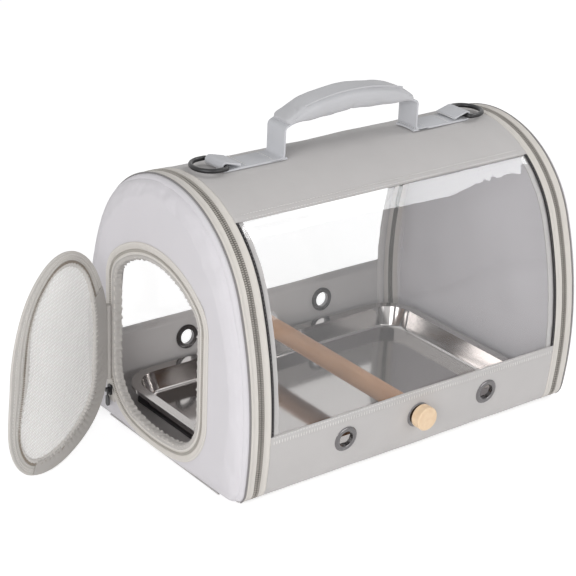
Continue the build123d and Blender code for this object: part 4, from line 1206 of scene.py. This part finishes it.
# %% The strip along the hinge
sheet = [(0.3 * MM, -1.2 * MM)] + [(0.75 * MM, -h * MM) for h in np.arange(2.5, 24.1, 1.6)] + [(0.6 * MM, -25.4 * MM)]
flap = spread_ring(carry("hinge_strip", sheet, DOOR_START, 0.0, DOOR, closed=False, joined=True, step=1.5 * MM))
turn = clock(np.array([polygon.center for polygon in flap.data.polygons])[:, 1:])
cut_faces(flap, (turn < 148) | (turn > 296))
points = points_of(flap)
distance, outs, height = nearest_on(door_line, points)
turn = clock(points[:, 1:])
loose = smoothstep((turn - 182) / 14) * smoothstep((-height - 3 * MM) / (8 * MM))
fold = 0.9 * MM * gathers(distance - 0.5 * height, 23, 8.5 * MM) + 0.5 * MM * gathers(distance + height, 29, 5.2 * MM)
points[:, 0] += loose * (0.45 * fold + 0.1 * MM) - 0.4 * MM * np.exp(-((turn - 180) / 1.6) ** 2)
move_points(flap, points)
apply_modifier(flap, "SOLIDIFY", thickness=0.5 * MM, offset=0)
dress(hang_door(flap), "binding_fabric", "door", "binding_fabric", sharp=180)

# %% [markdown]
# The net is warp-knitted, with small holes in rows. A grid stands for the knit: its faces are inset
# one by one and the middles deleted, which leaves threads with real holes between them. Its ragged
# outer edge ends inside the gathered cloth.

# %% The net
CELL_ACROSS, CELL_HIGH, THREAD = 2.3 * MM, 3.5 * MM, 0.66 * MM
columns, rows_high = 72, 60
deselect()
bpy.ops.mesh.primitive_grid_add(x_subdivisions=rows_high, y_subdivisions=columns, size=1)
net = bpy.context.object
net.name = net.data.name = "door_mesh"
bpy.ops.object.mode_set(mode="EDIT")
bpy.ops.mesh.select_all(action="SELECT")
bpy.ops.transform.resize(value=(rows_high * CELL_HIGH, columns * CELL_ACROSS, 1))
bpy.ops.transform.rotate(value=math.radians(4.5), orient_axis="Z", center_override=(0, 0, 0))
bpy.ops.transform.rotate(value=QUARTER, orient_axis="Y", center_override=(0, 0, 0))
bpy.ops.transform.translate(value=(-1.5 * MM, DOOR_MIDDLE, 106 * MM))
bpy.ops.object.mode_set(mode="OBJECT")
centres = np.array([polygon.center for polygon in net.data.polygons])
_, _, height = nearest_on(door_line, centres)
cut_faces(net, -height < inset_at[clock(centres[:, 1:])] - 4 * MM)
bpy.ops.object.mode_set(mode="EDIT")
bpy.ops.mesh.select_all(action="SELECT")
bpy.ops.mesh.inset(thickness=THREAD, use_individual=True)
bpy.ops.mesh.delete(type="FACE")
bpy.ops.object.mode_set(mode="OBJECT")
apply_modifier(net, "SOLIDIFY", thickness=0.4 * MM, offset=0)
points = points_of(net)
points[:, 0] += waves(points, 51, (0.12,), (0.35 * MM,))
move_points(net, points)
dress(hang_door(net), "net_mesh", "door", "net_mesh", "door_net")

# %% [markdown]
# ## Straps, handle and grip
#
# One kind of webbing makes the straps on the ridge, the loops that hold the rings and the handle. It
# is carried along the centre line of each, in a side view that is turned by a quarter afterwards. The
# handle's foot folds flat on the strap and is sewn there, and bends where the handle leans.


# %% Webbing in the side view
def to_side_view(piece):
    """Turns what was drawn in the YZ plane into the XZ plane."""
    piece.data.transform(Matrix.Rotation(-QUARTER, 4, "Z"))
    piece.data.update()
    return piece


WEBBING = flat_strip(-14 * MM, 14 * MM, 1.9 * MM, 8, edge=0.5 * MM)
RIDGE_RADIUS = ROOF_RADIUS


def lie_on_roof(piece, low=281 * MM, high=286 * MM):
    """Lowers the sides of flat webbing to the roof's curve, and leaves what stands above."""
    points = points_of(piece)
    drop = RIDGE_RADIUS - np.sqrt(RIDGE_RADIUS**2 - points[:, 1] ** 2)
    points[:, 2] -= drop * (1 - smoothstep((points[:, 2] - low) / (high - low)))
    move_points(piece, points)


LOOP_TURN = math.radians(194.6)
up_strip = [(x, -height) for x, height in WEBBING]
for side, side_name in ((-1, "left"), (1, "right")):
    runs = [(70 * MM, 0), (4.6 * MM, LOOP_TURN), (16.5 * MM, 0)]
    strap = carry(f"{side_name}_webbing", WEBBING, (78 * MM, 280.1 * MM), 0.0, runs, step=2.5 * MM)
    box = [(78 * MM + 3 * MM, 2.2 * MM), (78 * MM + 16 * MM, 2.2 * MM), (78 * MM + 46 * MM, 2.2 * MM),
           (78 * MM + 51 * MM, 5.0 * MM)]
    rows = []
    for x, rise in box:
        model = small_model("stitch_one", 0.7 * MM, 2.3 * MM, 0.6 * MM)
        across = np.arange(-11, 11.1, 3.1) * MM
        places = np.stack([-across, 0 * across + x, 0 * across + 280 * MM + rise - 0.05 * MM], 1)
        count = len(places)
        rows.append(repeat("stitches", model, places, np.tile([0.0, 1, 0], (count, 1)),
                           np.tile([-1.0, 0, 0], (count, 1)), np.tile([0.0, 0, 1], (count, 1))))
        bpy.data.objects.remove(model)
    rows = join(f"{side_name}_strap_stitches", rows)
    for piece in (strap, rows):
        to_side_view(piece)
        if side < 0:
            piece.data.transform(Matrix.Rotation(math.pi, 4, "Z"))
        lie_on_roof(piece)
    dress(strap, "webbing", "shell", "webbing", f"{side_name}_strap")
    dress(rows, "thread", "shell", "webbing")

# %% The handle's webbing
RISER_FACE, ARCH_RADIUS = 82 * MM, 226 * MM
ARCH_CENTRE = 325 * MM - 225 * MM
CORNER_OUT = 5 * MM
corner_x = RISER_FACE - CORNER_OUT
corner_z = ARCH_CENTRE + math.sqrt((ARCH_RADIUS - CORNER_OUT) ** 2 - corner_x**2)
corner_turn = math.atan2(corner_z - ARCH_CENTRE, corner_x)
FOLD = 3.2 * MM
riser = corner_z - (282.1 * MM + FOLD)
runs = [(11 * MM, 0), (FOLD, -QUARTER), (riser, 0), (CORNER_OUT, corner_turn),
        (ARCH_RADIUS, 2 * (QUARTER - corner_turn)), (CORNER_OUT, corner_turn), (riser, 0),
        (FOLD, -QUARTER), (11 * MM, 0)]
handle = carry("handle_band", WEBBING, (RISER_FACE + FOLD + 11 * MM, 282.1 * MM), math.pi, runs,
               step=2.2 * MM)
to_side_view(handle)
lie_on_roof(handle, 284.5 * MM, 290 * MM)
dress(handle, "webbing", None, "webbing", "handle_webbing")
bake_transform(handle)

# %% The grip
def grip_ends(points):
    return smoothstep((np.abs(points[:, 0]) - 56 * MM) / (3 * MM))


grip = swell("grip_pad", ["grip_cover", "grip_padding"], 3 * MM, 3.0, 3 * MM, grip_ends, shrink=0.8 * MM)
points = points_of(grip)
angle = np.arctan2(points[:, 0], points[:, 2] - ARCH_CENTRE)
reach = np.hypot(points[:, 0], points[:, 2] - ARCH_CENTRE) - 225 * MM
seam = np.exp(-((points[:, 1] + 13.5 * MM) / (1.3 * MM)) ** 2) * (reach > 4 * MM)
under = np.exp(-((angle * 225 * MM) / (2.2 * MM)) ** 2) * smoothstep((-reach) / (8 * MM))
along = np.abs(angle) * 225 * MM
longer = np.where(along > 40 * MM, 40 * MM + (along - 40 * MM) * 39 / 23, along)
thin = 1 - 0.62 * smoothstep((longer - 46 * MM) / (36 * MM))
angle = np.sign(angle) * longer / (225 * MM)
reach = 1.5 * MM + (reach - 1.5 * MM) * thin
points[:, 0] = np.sin(angle) * (225 * MM + reach)
points[:, 2] = ARCH_CENTRE + np.cos(angle) * (225 * MM + reach)
move_points(grip, points)
points = points_of(grip)
crescent = 2.5 * MM * smoothstep((np.abs(angle) * 225 * MM - 18 * MM) / (44 * MM)) * smoothstep((6 * MM - reach) / (14 * MM))
points[:, 0] += np.sin(angle) * crescent
points[:, 2] += np.cos(angle) * crescent
ends = np.exp(-((np.abs(angle) * 225 * MM - 61 * MM - 0.5 * points[:, 1] ** 2 / (14 * MM)) / (1.0 * MM)) ** 2)
normal = normals_of(grip)
points -= normal * (0.7 * MM * seam + 0.8 * MM * ends + 1.2 * MM * under)[:, None]
points += normal * (waves(points, 61, (0.03, 0.012), (0.3 * MM, 0.12 * MM)))[:, None]
move_points(grip, points)
dress(grip, "grip_fabric", "handle", "grip_fabric", "grip_cover", "grip_padding", sharp=180)

ring = [(13.4 * MM + 0.9 * MM * math.cos(a), 0.9 * MM * math.sin(a))
        for a in (2 * math.pi * i / 8 for i in range(8))]
reach, turn = 225 * MM + 10.6 * MM, 2 * math.radians(14.6)
begin = QUARTER - turn / 2
start = (reach * math.cos(begin), ARCH_CENTRE + reach * math.sin(begin))
piping = carry("grip_cord", ring, start, begin + QUARTER, [(reach, turn)], step=3 * MM)
dress(to_side_view(piping), "grip_fabric", "handle", "grip_fabric")
print("grip reaches up to", round(points[:, 2].max() / MM, 1), "mm")

# %% [markdown]
# ## Floor, backdrop and light
#
# A plain pale floor catches a soft shadow. Seen directly it is nearly white. The light is two large
# soft boxes and a pale room: one overhead towards the far end, whose edge shows in the vinyl as a
# bright curved patch, and a wider one on the camera's left for the padded end.

# %% The floor
deselect()
bpy.ops.mesh.primitive_plane_add(size=12, location=(0, 0, -0.0002))
floor = bpy.context.object
floor.name = floor.data.name = "floor"
bpy.ops.object.transform_apply(location=True, rotation=True, scale=True)


def seen_directly(nodes, links):
    """1 for rays from the camera, a mirror or clear material, and 0 for light on its way."""
    ray = nodes.new("ShaderNodeLightPath")
    either = node(nodes, "ShaderNodeMath", operation="MAXIMUM")
    links.new(ray.outputs["Is Camera Ray"], either.inputs[0])
    links.new(ray.outputs["Is Glossy Ray"], either.inputs[1])
    any_of = node(nodes, "ShaderNodeMath", operation="MAXIMUM")
    links.new(either.outputs["Value"], any_of.inputs[0])
    links.new(ray.outputs["Is Transmission Ray"], any_of.inputs[1])
    return any_of.outputs["Value"]


material, nodes, links, shader = new_finish("floor_paint")
vector = object_coordinates(nodes, links)
links.new(tinted(nodes, links, vector, colour(250, 250, 250), colour(253, 253, 253), 3.0), shader.inputs["Base Color"])
shader.inputs["Roughness"].default_value = 0.9
paper = nodes.new("ShaderNodeBsdfDiffuse")
paper.inputs["Color"].default_value = (0.78, 0.78, 0.78, 1)
glow = nodes.new("ShaderNodeEmission")
glow.inputs["Color"].default_value = (1, 1, 1, 1)
glow.inputs["Strength"].default_value = 0.60
both, pick = nodes.new("ShaderNodeAddShader"), nodes.new("ShaderNodeMixShader")
links.new(paper.outputs["BSDF"], both.inputs[0])
links.new(glow.outputs["Emission"], both.inputs[1])
links.new(seen_directly(nodes, links), pick.inputs["Fac"])
links.new(shader.outputs["BSDF"], pick.inputs[1])
links.new(both.outputs["Shader"], pick.inputs[2])
links.new(pick.outputs["Shader"], nodes["Material Output"].inputs["Surface"])
floor.data.materials.append(material)

# %% The room
world = bpy.data.worlds.new("room")
bpy.context.scene.world = world
world.use_nodes = True
nodes, links = world.node_tree.nodes, world.node_tree.links
background = nodes["Background"]
background.inputs["Color"].default_value = (1, 1, 1, 1)
strength = nodes.new("ShaderNodeMapRange")
strength.inputs["To Min"].default_value = 0.40
strength.inputs["To Max"].default_value = 1.0
links.new(seen_directly(nodes, links), strength.inputs["Value"])
links.new(strength.outputs["Result"], background.inputs["Strength"])


def soft_box(name, place, aim, width, height, power):
    data = bpy.data.lights.new(name, "AREA")
    data.shape = "RECTANGLE"
    data.size, data.size_y, data.energy = width, height, power
    lamp = bpy.data.objects.new(name, data)
    bpy.context.scene.collection.objects.link(lamp)
    lamp.matrix_world = (Matrix.Translation(place)
                         @ (Vector(aim) - Vector(place)).to_track_quat("-Z", "Y").to_matrix().to_4x4())
    return lamp


soft_box("overhead", (1.45, -0.45, 1.85), (0.1, -0.05, 0.2), 1.0, 0.6, 11)
soft_box("left_window", (-2.2, -1.3, 1.0), (0, 0, 0.1), 1.8, 1.2, 33)
soft_box("front_fill", (0.4, -2.5, 0.8), (0, 0, 0.1), 1.8, 1.0, 13)
